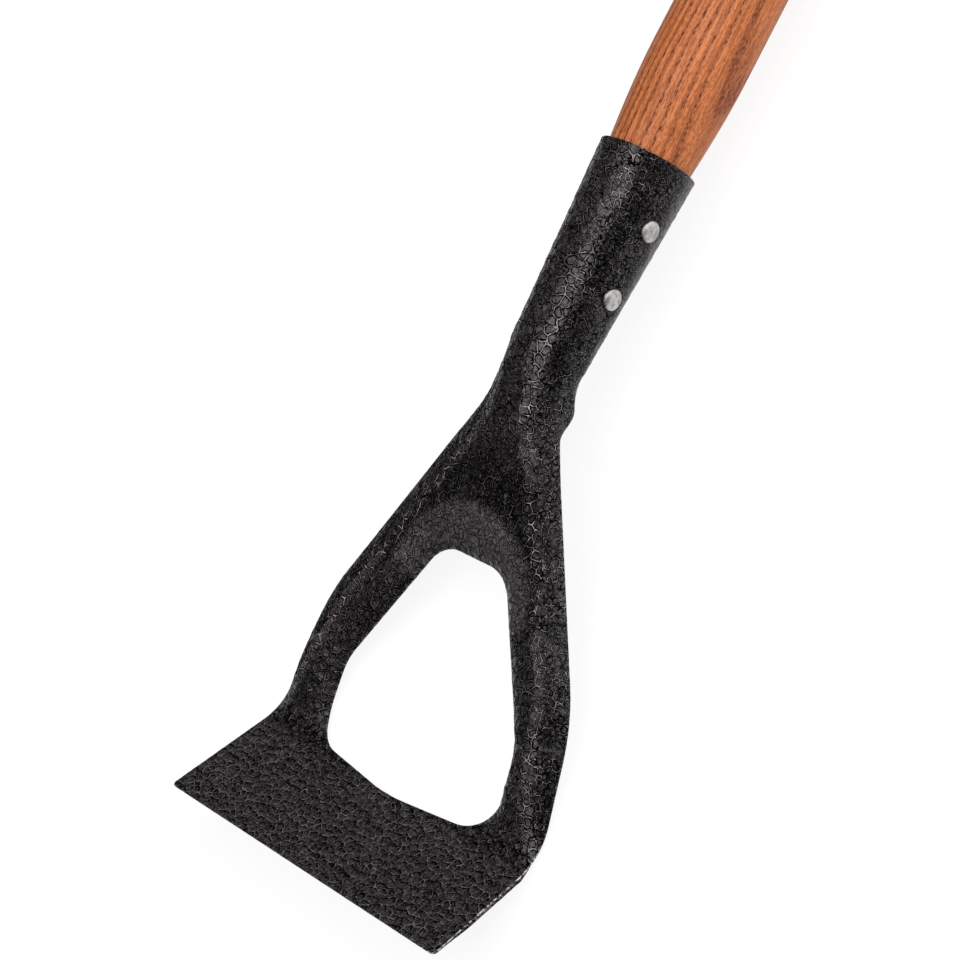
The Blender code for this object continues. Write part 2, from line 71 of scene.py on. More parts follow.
class Signal:
    """An output socket of a node, on which the usual operators add Math nodes."""

    def __init__(self, graph: "Graph", socket: bpy.types.NodeSocket) -> None:
        """Wrap a socket that belongs to a graph."""
        self.graph = graph
        self.socket = socket

    def __add__(self, other: "Signal | float") -> "Signal":
        """This value plus another."""
        return self.graph.maths("ADD", self, other)

    def __radd__(self, other: "Signal | float") -> "Signal":
        """Another value plus this one."""
        return self.graph.maths("ADD", other, self)

    def __sub__(self, other: "Signal | float") -> "Signal":
        """This value less another."""
        return self.graph.maths("SUBTRACT", self, other)

    def __rsub__(self, other: "Signal | float") -> "Signal":
        """Another value less this one."""
        return self.graph.maths("SUBTRACT", other, self)

    def __mul__(self, other: "Signal | float") -> "Signal":
        """This value times another."""
        return self.graph.maths("MULTIPLY", self, other)

    def __rmul__(self, other: "Signal | float") -> "Signal":
        """Another value times this one."""
        return self.graph.maths("MULTIPLY", other, self)

    def __truediv__(self, other: "Signal | float") -> "Signal":
        """This value divided by another."""
        return self.graph.maths("DIVIDE", self, other)

    def limited(self) -> "Signal":
        """This value, kept between 0 and 1."""
        return self.graph.maths("MINIMUM", self.graph.maths("MAXIMUM", self, 0.0), 1.0)

    def eased(self, low: float, high: "Signal | float") -> "Signal":
        """0 at low, 1 at high, and a smooth ramp between them.

        Args:
            low: the value that gives 0.
            high: the value that gives 1.

        Returns:
            The ramp's value.
        """
        inputs = {"Value": self, "From Min": low, "From Max": high}
        settings = {"interpolation_type": "SMOOTHSTEP"}
        return self.graph.add("ShaderNodeMapRange", settings, inputs)["Result"]


class Placed:
    """A node in a graph, whose outputs are looked up by name or number."""

    def __init__(self, graph: "Graph", node: bpy.types.Node) -> None:
        """Wrap a node that belongs to a graph."""
        self.graph = graph
        self.node = node

    def __getitem__(self, name: str | int) -> Signal:
        """The output of that name or number."""
        return Signal(self.graph, self.node.outputs[name])


class Graph:
    """Adds nodes to a material's, a modifier's or the world's node tree."""

    def __init__(self, tree: bpy.types.NodeTree) -> None:
        """Take over a node tree and empty it."""
        self.tree = tree
        tree.nodes.clear()

    def add(
        self,
        kind: str,
        settings: dict[str, Any] | None = None,
        inputs: dict[str | int, Any] | None = None,
    ) -> Placed:
        """Add a node of any kind.

        Args:
            kind: the node's type name.
            settings: the node's own properties, set first.
            inputs: a value, or a signal to link, for each socket by name or number.

        Returns:
            The node.
        """
        node = self.tree.nodes.new(kind)
        for name, value in (settings or {}).items():
            setattr(node, name, value)
        for name, value in (inputs or {}).items():
            if isinstance(value, Signal):
                self.tree.links.new(value.socket, node.inputs[name])
            else:
                node.inputs[name].default_value = value
        return Placed(self, node)

    def maths(self, operation: str, first: Signal | float, second: Signal | float) -> Signal:
        """Work out a value from two others.

        Args:
            operation: the Math node's operation.
            first: its first value.
            second: its second value.

        Returns:
            The result.
        """
        return self.add("ShaderNodeMath", {"operation": operation}, {0: first, 1: second})[0]

    def vectors(self, operation: str, first: Any, second: Any) -> Signal:
        """Work out a vector from two others.

        Args:
            operation: the Vector Math node's operation.
            first: its first vector.
            second: its second vector.

        Returns:
            The resulting vector.
        """
        return self.add("ShaderNodeVectorMath", {"operation": operation}, {0: first, 1: second})[0]

    def scaled(self, vector: Signal, size: Signal | float) -> Signal:
        """A vector made longer or shorter by a factor."""
        inputs = {0: vector, "Scale": size}
        return self.add("ShaderNodeVectorMath", {"operation": "SCALE"}, inputs)[0]

    def mixed(self, blend: Blend, share: Signal | float, first: Any, second: Any) -> Signal:
        """Blend two values or two colours.

        Args:
            blend: what is blended.
            share: 0 for the first, 1 for the second.
            first: the first value, or colour of three numbers.
            second: the second one.

        Returns:
            The blend.
        """
        data, at_first, at_second, result = blend.value
        first, second = ((*end, 1.0) if isinstance(end, tuple) else end for end in (first, second))
        inputs = {0: share, at_first: first, at_second: second}
        return self.add("ShaderNodeMix", {"data_type": data}, inputs)[result]

    def noise(self, place: Signal, scale: float, detail: float = 2.0, rough: float = 0.5) -> Signal:
        """Soft noise from 0 to 1.

        Args:
            place: where it is read.
            scale: how many times it varies per unit.
            detail: how many finer layers it has.
            rough: how strong those are.

        Returns:
            The noise.
        """
        inputs = {"Vector": place, "Scale": scale, "Detail": detail, "Roughness": rough}
        return self.add("ShaderNodeTexNoise", None, inputs)["Fac"]

    def parts(self, vector: Signal) -> Placed:
        """A vector's X, Y and Z."""
        return self.add("ShaderNodeSeparateXYZ", None, {0: vector})

    def length(self, vector: Signal) -> Signal:
        """A vector's length."""
        return self.add("ShaderNodeVectorMath", {"operation": "LENGTH"}, {0: vector})["Value"]

    def dot(self, first: Signal, second: Any) -> Signal:
        """The dot product of two vectors."""
        return self.add("ShaderNodeVectorMath", {"operation": "DOT_PRODUCT"}, {0: first, 1: second})["Value"]

    def joined(self, x: Signal, y: Signal) -> Signal:
        """The vector (x, y, 0)."""
        return self.add("ShaderNodeCombineXYZ", None, {0: x, 1: y})[0]

    def bump(self, height: Signal) -> Signal:
        """The normal of a surface with a height in metres."""
        inputs = {"Strength": 1.0, "Distance": 1.0, "Height": height}
        return self.add("ShaderNodeBump", None, inputs)["Normal"]

    def coloured(self, kind: str, colour: tuple[float, float, float]) -> Signal:
        """A shader of one kind and colour."""
        return self.add(kind, None, {"Color": (*colour, 1.0)})[0]

    def principled(self, inputs: dict[str, Any]) -> Signal:
        """A Principled shader with a value, or a signal to link, for each socket by name."""
        return self.add("ShaderNodeBsdfPrincipled", None, inputs)["BSDF"]

    def either(self, share: Signal, first: Signal, second: Signal) -> Signal:
        """The first shader where the share is 0, and the second where it is 1."""
        return self.add("ShaderNodeMixShader", None, {0: share, 1: first, 2: second})[0]

    def surface(self, shader: Signal) -> None:
        """Make a shader what the material shows."""
        self.add("ShaderNodeOutputMaterial", None, {"Surface": shader})


@dataclass(frozen=True)
class Span:
    """Two values between which a smooth ramp runs."""

    low: float
    high: float

    def rise(self, signal: Signal) -> Signal:
        """0 up to the low value, and 1 from the high one."""
        return signal.eased(self.low, self.high)

    def fall(self, signal: Signal) -> Signal:
        """1 up to the low value, and 0 from the high one."""
        return 1.0 - self.rise(signal)


@dataclass(frozen=True)
class Noise:
    """Soft noise from 0 to 1: how often it varies per metre, and its finer layers."""

    scale: float
    detail: float = 2.0
    rough: float = 0.5

    def read(self, graph: Graph, place: Signal) -> Signal:
        """The noise at a place."""
        return graph.noise(place, self.scale, self.detail, self.rough)


@dataclass(frozen=True)
class Grain:
    """Noise drawn out along the wood: how often it varies per metre in X, along it and in Z."""

    scale: tuple[float, float, float]
    detail: float = 2.0
    rough: float = 0.5

    def read(self, graph: Graph, place: Signal) -> Signal:
        """The grain at a place."""
        return graph.noise(graph.vectors("MULTIPLY", place, self.scale), 1.0, self.detail, self.rough)


@dataclass(frozen=True)
class Patches:
    """Noise that a ramp turns into patches with soft edges."""

    scale: float
    edge: Span
    detail: float = 2.0
    rough: float = 0.5

    def read(self, graph: Graph, place: Signal) -> Signal:
        """1 in the patches, and 0 between them."""
        return self.edge.rise(graph.noise(place, self.scale, self.detail, self.rough))


def new_material(name: str) -> tuple[bpy.types.Material, Graph]:
    """A material with an empty graph of nodes.

    Args:
        name: its name.

    Returns:
        The material and its graph.
    """
    material = bpy.data.materials.new(name)
    material.use_nodes = True
    return material, Graph(material.node_tree)


def eased(low: float, high: float, value: np.ndarray | float) -> np.ndarray:
    """0 below low, 1 above high, and a smooth ramp between them.

    Args:
        low: where the ramp starts.
        high: where it ends.
        value: the places that are asked for.

    Returns:
        The ramp's values.
    """
    share = np.clip((value - low) / (high - low), 0.0, 1.0)
    return share * share * (3.0 - 2.0 * share)


def through(stations: list[tuple[float, float]], position: np.ndarray | float) -> np.ndarray:
    """A smooth curve through stations.

    Args:
        stations: pairs of a position and a value.
        position: the places that are asked for.

    Returns:
        The curve's values.
    """
    at, value = np.array(stations).T
    slope = np.gradient(value, at)
    slope[0] = (value[1] - value[0]) / (at[1] - at[0])
    slope[-1] = 0.0
    position = np.clip(position, at[0], at[-1])
    i = np.clip(np.searchsorted(at, position, side="right") - 1, 0, len(at) - 2)
    span = at[i + 1] - at[i]
    t = (position - at[i]) / span
    return (
        value[i] * (1 + 2 * t) * (1 - t) ** 2
        + span * slope[i] * t * (1 - t) ** 2
        + value[i + 1] * t * t * (3 - 2 * t)
        + span * slope[i + 1] * t * t * (t - 1)
    )


def rounded(corners: list[tuple[float, float, float]], step: float, arc_steps: int) -> np.ndarray:
    """Points along straight sides whose corners are rounded.

    Where a side is too short for its arcs, each arc takes at most half of the side.

    Args:
        corners: x, s and radius of each corner.
        step: the furthest that two points may be apart.
        arc_steps: how many sides each arc has.

    Returns:
        The points, one row each.
    """
    points = [np.array(corners[0][:2])]
    for before, corner, after in zip(corners, corners[1:], corners[2:]):
        middle = np.array(corner[:2])
        back = np.array(before[:2]) - middle
        on = np.array(after[:2]) - middle
        shortest = min(np.linalg.norm(back), np.linalg.norm(on))
        back /= np.linalg.norm(back)
        on /= np.linalg.norm(on)
        half = 0.5 * math.acos(float(np.clip(back @ on, -1.0, 1.0)))
        reach = min(corner[2] / math.tan(half), 0.5 * shortest)
        centre = middle + (back + on) * reach / (1.0 + back @ on)
        spoke = middle + back * reach - centre
        turn = math.copysign(math.pi - 2.0 * half, on[0] * back[1] - on[1] * back[0])
        for k in range(arc_steps + 1):
            cos, sin = math.cos(turn * k / arc_steps), math.sin(turn * k / arc_steps)
            points.append(centre + (cos * spoke[0] - sin * spoke[1], sin * spoke[0] + cos * spoke[1]))
    points.append(np.array(corners[-1][:2]))
    rows = [np.array(points[:1])]
    for start, end in zip(points, points[1:]):
        count = max(1, math.ceil(np.linalg.norm(end - start) / step))
        share = np.arange(1, count + 1)[:, None] / count
        rows.append(start + (end - start) * share)
    return np.concatenate(rows)


def edge_drop(distance: np.ndarray, radius: float) -> np.ndarray:
    """How far a face has fallen away at a distance from its rounded edge.

    Args:
        distance: how far from the edge.
        radius: the edge's rounding.

    Returns:
        The fall, which is the radius at the edge and nothing beyond the rounding.
    """
    inward = radius - np.clip(distance, 0.0, radius)
    return radius - np.sqrt(radius * radius - inward * inward)


def edge_steps(length: float, count: int, radius: float, far_edge: bool) -> np.ndarray:
    """Steps over a face that are fine at its rounded edges and even between them.

    Args:
        length: how wide the face is.
        count: how many even steps there are.
        radius: the edges' rounding.
        far_edge: whether the far end is a rounded edge too.

    Returns:
        Places from 0 to the length.
    """
    fine = radius * (1.0 - np.cos(ROUNDING_TURNS))
    last = length - radius if far_edge else length
    even = np.linspace(radius, last, count + 1)
    ends = [length - fine[::-1]] if far_edge else []
    return np.concatenate([fine, even, *ends])


@dataclass(frozen=True)
class Resting:
    """How the hoe lies: tipped back from blade flat, with its place on the floor."""

    tilt: float = math.radians(33.70680)
    ahead: float = -0.7758913636
    height: float = 0.0238600168

    def matrix(self) -> Matrix:
        """The move from a blade that is flat to the hoe's place on the floor."""
        turn = Matrix.Rotation(-self.tilt, 4, "X")
        return Matrix.Translation((0.0, self.ahead, self.height)) @ turn


@dataclass(frozen=True)
class PressedSheet:
    """Form of the head's steel sheet, with the CAD source's sizes but for two.

    The steel is 0.1 mm thinner, so that it stays inside the flat facets of the CAD solid, and
    the neck's crown is lower, which gives the neck its smooth outline.
    """

    blade_width: float = 0.127
    blade_depth: float = 0.0335
    blade_side_taper: float = 0.0017
    blade_corner_radius: float = 0.0015
    blade_thickness: float = 0.0023
    edge_thickness: float = 0.0011
    edge_bevel_length: float = 0.015
    bend_radius: float = 0.0197
    arm_angle: float = math.radians(46.73)
    socket_angle: float = math.radians(33.24)
    opening_foot: float = 0.0011
    opening_length: float = 0.0726
    web_length: float = 0.026
    neck_length: float = 0.0415
    socket_length: float = 0.0565
    shoulder_inset: float = 0.0054
    shoulder_at: float = 0.0444
    shoulder_radius: float = 0.056
    arm_foot_radius: float = 0.019
    neck_waist: float = 0.0003
    neck_corner_below_socket: float = 0.0157
    neck_corner_radius: float = 0.028
    arm_foot_width: float = 0.0213
    opening_foot_half_flat: float = 0.0042
    opening_foot_radius: float = 0.060
    opening_corner_rise: float = 0.004
    opening_corner_radius: float = 0.0128
    arm_width: float = 0.0167
    opening_side_at: float = 0.0296
    opening_side_radius: float = 0.019
    opening_top_half_width: float = 0.0142
    opening_top_radius: float = 0.013
    foot_crown: float = 0.0043
    arm_crown: float = 0.0037
    crotch_crown: float = 0.005
    web_crown: float = 0.0047
    neck_crown: float = 0.0074
    foot_crown_at: float = 0.015
    arm_crown_at: float = 0.045
    crotch_crown_above_opening: float = 0.005
    web_crown_above_web: float = 0.004
    neck_crown_below_socket: float = 0.024
    shallow_fullness: float = 0.80
    deep_fullness: float = 0.985
    deep_crown: float = 0.006
    inner_roll_share: float = 0.9
    crotch_roll: float = 0.017
    crotch_blend_below: float = 0.022
    crotch_blend_above: float = 0.004
    socket_foot_radius: float = 0.0121
    socket_mouth_radius: float = 0.0149
    socket_wall: float = 0.0019
    roll_start_below_socket: float = 0.0275
    roll_end_below_socket: float = 0.0078
    wall_thins_below_socket: float = 0.046
    seam_gap: float = 0.0008
    fine_step: float = 0.0003
    arc_steps: int = 12
    girth_samples: int = 41
    slant_turn: float = math.radians(1.0)

    @property
    def opening_top_at(self) -> float:
        """Top of the opening between the arms."""
        return self.opening_foot + self.opening_length

    @property
    def ray_centre_at(self) -> float:
        """Middle of the opening, from which the sheet's lines run out."""
        return self.opening_foot + 0.5 * self.opening_length

    @property
    def neck_at(self) -> float:
        """Foot of the neck."""
        return self.opening_top_at + self.web_length

    @property
    def socket_foot_at(self) -> float:
        """Foot of the socket."""
        return self.neck_at + self.neck_length

    @property
    def socket_mouth_at(self) -> float:
        """Mouth of the socket."""
        return self.socket_foot_at + self.socket_length

    @property
    def foot_half_width(self) -> float:
        """Half width of the sheet at the bend behind the blade."""
        return 0.5 * self.blade_width - self.blade_side_taper

    @property
    def shoulder_half_width(self) -> float:
        """Half width of the sheet where the arms' outer edges turn inwards."""
        return self.foot_half_width - self.shoulder_inset

    def outline(self, step: float) -> np.ndarray:
        """The sheet's outer edge at +X, from the cutting edge's middle to the socket's foot.

        Args:
            step: the furthest that two of its points may be apart.

        Returns:
            Its points, as x and s.
        """
        waist_at = self.socket_foot_at - self.neck_corner_below_socket
        corners = [
            (0.0, -self.blade_depth, 0.0),
            (0.5 * self.blade_width, -self.blade_depth, self.blade_corner_radius),
            (self.foot_half_width, 0.0, self.arm_foot_radius),
            (self.shoulder_half_width, self.shoulder_at, self.shoulder_radius),
            (self.socket_foot_radius - self.neck_waist, waist_at, self.neck_corner_radius),
            (self.socket_foot_radius, self.socket_foot_at, 0.0),
        ]
        return rounded(corners, step, self.arc_steps)

    def opening(self) -> np.ndarray:
        """The opening's edge at +X, from the middle of its foot to the middle of its top.

        Returns:
            Its points, as x and s.
        """
        foot_corner = self.foot_half_width - self.arm_foot_width
        side_corner = self.shoulder_half_width - self.arm_width
        corners = [
            (0.0, self.opening_foot, 0.0),
            (self.opening_foot_half_flat, self.opening_foot, self.opening_foot_radius),
            (foot_corner, self.opening_foot + self.opening_corner_rise, self.opening_corner_radius),
            (side_corner, self.opening_side_at, self.opening_side_radius),
            (self.opening_top_half_width, self.opening_top_at, self.opening_top_radius),
            (0.0, self.opening_top_at, 0.0),
        ]
        return rounded(corners, self.fine_step, self.arc_steps)

    def crowns(self) -> list[tuple[float, float]]:
        """Height of the crown over the sheet's edges.

        Returns:
            Pairs of s and height.
        """
        return [
            (0.0, 0.0),
            (self.foot_crown_at, self.foot_crown),
            (self.arm_crown_at, self.arm_crown),
            (self.opening_top_at + self.crotch_crown_above_opening, self.crotch_crown),
            (self.neck_at + self.web_crown_above_web, self.web_crown),
            (self.socket_foot_at - self.neck_crown_below_socket, self.neck_crown),
            (self.socket_foot_at, self.socket_foot_radius),
        ]

    def bent(self, s: np.ndarray | float) -> tuple[np.ndarray, np.ndarray, np.ndarray]:
        """The sheet's middle line in the side view.

        Args:
            s: places along the sheet.

        Returns:
            The y, the z and the angle of the slope at each place.
        """
        bends = [
            (self.bend_radius * self.arm_angle, self.arm_angle),
            (self.neck_at - self.bend_radius * self.arm_angle, 0.0),
            (self.neck_length, self.socket_angle - self.arm_angle),
            (self.socket_length, 0.0),
        ]
        s = np.asarray(s, dtype=float)
        y = self.blade_depth + np.minimum(s, 0.0)
        z = np.zeros(s.shape)
        slope = np.zeros(s.shape)
        left = np.maximum(s, 0.0)
        for length, turn in bends:
            run = np.clip(left, 0.0, length)
            turned = turn * run / length
            chord = run * np.sinc(turned / (2.0 * np.pi))
            y = y + chord * np.cos(slope + 0.5 * turned)
            z = z + chord * np.sin(slope + 0.5 * turned)
            slope = slope + turned
            left = left - run
        return y, z, slope

    def placed(self, x: np.ndarray, s: np.ndarray, rise: np.ndarray) -> np.ndarray:
        """Points of the bent sheet at x and s, raised at right angles to it."""
        y, z, slope = self.bent(s)
        return np.stack([x, y - rise * np.sin(slope), z + rise * np.cos(slope)], axis=-1)

    def fullness(self, crown: np.ndarray) -> np.ndarray:
        """How far round an ellipse the crown's curve goes: 1 is a quarter turn to each side."""
        gain = self.deep_fullness - self.shallow_fullness
        return self.shallow_fullness + gain * eased(0.0, self.deep_crown, crown)

    def roll(self, share: np.ndarray, crown: np.ndarray) -> np.ndarray:
        """How the crown rises from an edge.

        Args:
            share: the share of the way in from the edge.
            crown: the crown's height there.

        Returns:
            The share of that height that is reached.
        """
        full = self.fullness(crown)
        foot = np.sqrt(1.0 - full * full)
        level = np.sqrt(1.0 - ((1.0 - np.clip(share, 0.0, 1.0)) * full) ** 2)
        return (level - foot) / (1.0 - foot)

    def polar(self, points: np.ndarray) -> tuple[np.ndarray, np.ndarray]:
        """Angle and distance of points (x, s) seen from the middle of the opening."""
        x, s = np.asarray(points).T
        return np.arctan2(s - self.ray_centre_at, x), np.hypot(x, s - self.ray_centre_at)

    def outer_edge(self, s: np.ndarray | float) -> np.ndarray:
        """Half width of the sheet above the cutting edge.

        Args:
            s: places along the sheet.

        Returns:
            The half width at each place.
        """
        outline = self.outline(self.fine_step)
        side = outline[outline[:, 1] > -self.blade_depth]
        return np.interp(s, side[:, 1], side[:, 0])

    def inner_edge(self, s: np.ndarray) -> np.ndarray:
        """Half width of the opening.

        Args:
            s: places along the sheet, beside the opening or above it.

        Returns:
            The half width at each place, which is 0 above the opening.
        """
        opening = self.opening()
        side = opening[np.argmax(opening[:, 0]):]
        return np.where(s < self.opening_top_at, np.interp(s, side[:, 1], side[:, 0]), 0.0)

    def from_opening(self, x: np.ndarray, s: np.ndarray) -> np.ndarray:
        """Distance from the opening's edge on the flat sheet.

        Args:
            x: places across the sheet.
            s: places along it.

        Returns:
            The distance at each place.
        """
        opening_angle, opening_reach = self.polar(self.opening())
        angle, distance = self.polar(np.stack([np.ravel(x), np.ravel(s)], axis=-1))
        reach = np.interp(angle, opening_angle, opening_reach)
        ahead = np.interp(angle + self.slant_turn, opening_angle, opening_reach)
        behind = np.interp(angle - self.slant_turn, opening_angle, opening_reach)
        slant = (ahead - behind) / (2.0 * self.slant_turn * reach)
        return ((distance - reach) / np.sqrt(1.0 + slant * slant)).reshape(np.shape(x))

    def crown_height(self, x: np.ndarray, s: np.ndarray) -> np.ndarray:
        """Height of the crowned blade, arms and web over the flat sheet.

        Args:
            x: places across the sheet.
            s: places along it.

        Returns:
            The height at each place.
        """
        crown = np.where(s > 0.0, through(self.crowns(), s), 0.0)
        outer, top = self.outer_edge(s), self.opening_top_at
        half_arm = 0.5 * (outer - self.inner_edge(s))
        web = eased(top - self.crotch_blend_below, top + self.crotch_blend_above, s)
        inner_roll = self.inner_roll_share * half_arm * (1.0 - web) + self.crotch_roll * web
        outer_roll = half_arm * (1.0 - web) + outer * web
        inner_share = np.clip(self.from_opening(x, s) / inner_roll, 0.0, 1.0)
        inner_share = inner_share + (1.0 - inner_share) * eased(top, self.neck_at, s)
        return crown * self.roll(inner_share, crown) * self.roll((outer - x) / outer_roll, crown)

    def girth(self, x: np.ndarray, s: np.ndarray) -> np.ndarray:
        """Distance over the crowned sheet from its middle line.

        Args:
            x: places across the sheet.
            s: places along it.

        Returns:
            The distance at each place.
        """
        across = x[..., None] * np.linspace(0.0, 1.0, self.girth_samples)
        rise = self.crown_height(across, np.repeat(s[..., None], self.girth_samples, axis=-1))
        return np.hypot(np.diff(across), np.diff(rise)).sum(axis=-1)

    def socket_radius(self, s: np.ndarray | float) -> np.ndarray:
        """Outer radius of the socket at s, which widens towards its mouth."""
        share = np.clip((s - self.socket_foot_at) / self.socket_length, 0.0, 1.0)
        return self.socket_foot_radius + (self.socket_mouth_radius - self.socket_foot_radius) * share

    def thickness(self, s: np.ndarray) -> np.ndarray:
        """Thickness of the steel, which is thin at the cutting edge and drawn out in the socket.

        Args:
            s: places along the sheet.

        Returns:
            The thickness at each place.
        """
        at_edge = 1.0 - eased(-self.blade_depth, self.edge_bevel_length - self.blade_depth, s)
        start = self.socket_foot_at - self.wall_thins_below_socket
        thins = eased(start, self.socket_foot_at - self.roll_end_below_socket, s)
        thinned = (self.blade_thickness - self.edge_thickness) * at_edge
        return self.blade_thickness - thinned - (self.blade_thickness - self.socket_wall) * thins

    def socket_frame(self, from_mouth: float) -> Matrix:
        """The move that lays local Y along the socket's axis, at a distance from its mouth."""
        y, z, slope = self.bent(self.socket_mouth_at - from_mouth)
        return Matrix.Translation((0.0, float(y), float(z))) @ Matrix.Rotation(float(slope), 4, "X")


@dataclass(frozen=True)
class Spot:
    """A place on the sheet, as signals.

    They are X on the hoe, the distance over the sheet from the middle line and that from the
    bend behind the blade, the place on the sheet with the first of them below zero on the
    left, 1 on the blade, the distance outside the ridge that runs up the crown, and 1 there.
    """

    x: Signal
    across: Signal
    along: Signal
    on_sheet: Signal
    blade: Signal
    beyond_ridge: Signal
    outside: Signal


@dataclass(frozen=True)
class Layout:
    """Where the blade ends on the sheet, and where its crown's ridge runs, in metres.

    The ridge runs in two straight stretches from the blade's bend to the socket, and then at
    one distance from the middle line. Each lean is its loss of width per length.
    """

    blade_end: Span = Span(-0.001, 0.009)
    ridge_at_bend: float = 0.0625
    ridge_lean_low: float = 0.33
    ridge_from_high: float = 0.0735
    ridge_lean_high: float = 0.56
    ridge_at_socket: float = 0.0088
    outer_side: Span = Span(0.0, 0.002)

    def spot(self, graph: Graph, place: Signal, flat: Signal) -> Spot:
        """What is known of a place from where it lies.

        Args:
            graph: the graph that it is added to.
            place: the place on the finished hoe, whose X tells the left from the right.
            flat: the place on the sheet, alike on both sides.

        Returns:
            The place's signals.
        """
        x = graph.parts(place)["X"]
        flat_parts = graph.parts(flat)
        across, along = flat_parts["X"], flat_parts["Y"]
        on_sheet = graph.joined(across * graph.maths("SIGN", x, 0.0), along)
        blade = self.blade_end.fall(along)
        low = self.ridge_at_bend - along * self.ridge_lean_low
        high = self.ridge_from_high - along * self.ridge_lean_high
        ridge = graph.maths("MAXIMUM", graph.maths("MINIMUM", low, high), self.ridge_at_socket)
        beyond = across - ridge
        return Spot(x, across, along, on_sheet, blade, beyond, self.outer_side.rise(beyond) * (1.0 - blade))


@dataclass(frozen=True)
class Dimples:
    """What the relief is at a place, as signals.

    They are a place's distance inside the dimple's rounded rim as a share of its width, the
    height in its bowl from 0 in the middle, a number of the dimple's own, the height in metres
    of a slope that leans its own way, 1 on its side away from the cutting edge, and the
    distance inside the rim of the small ripples.
    """

    inside: Signal
    bowl: Signal
    tone: Signal
    lean: Signal
    upper: Signal
    ripple: Signal


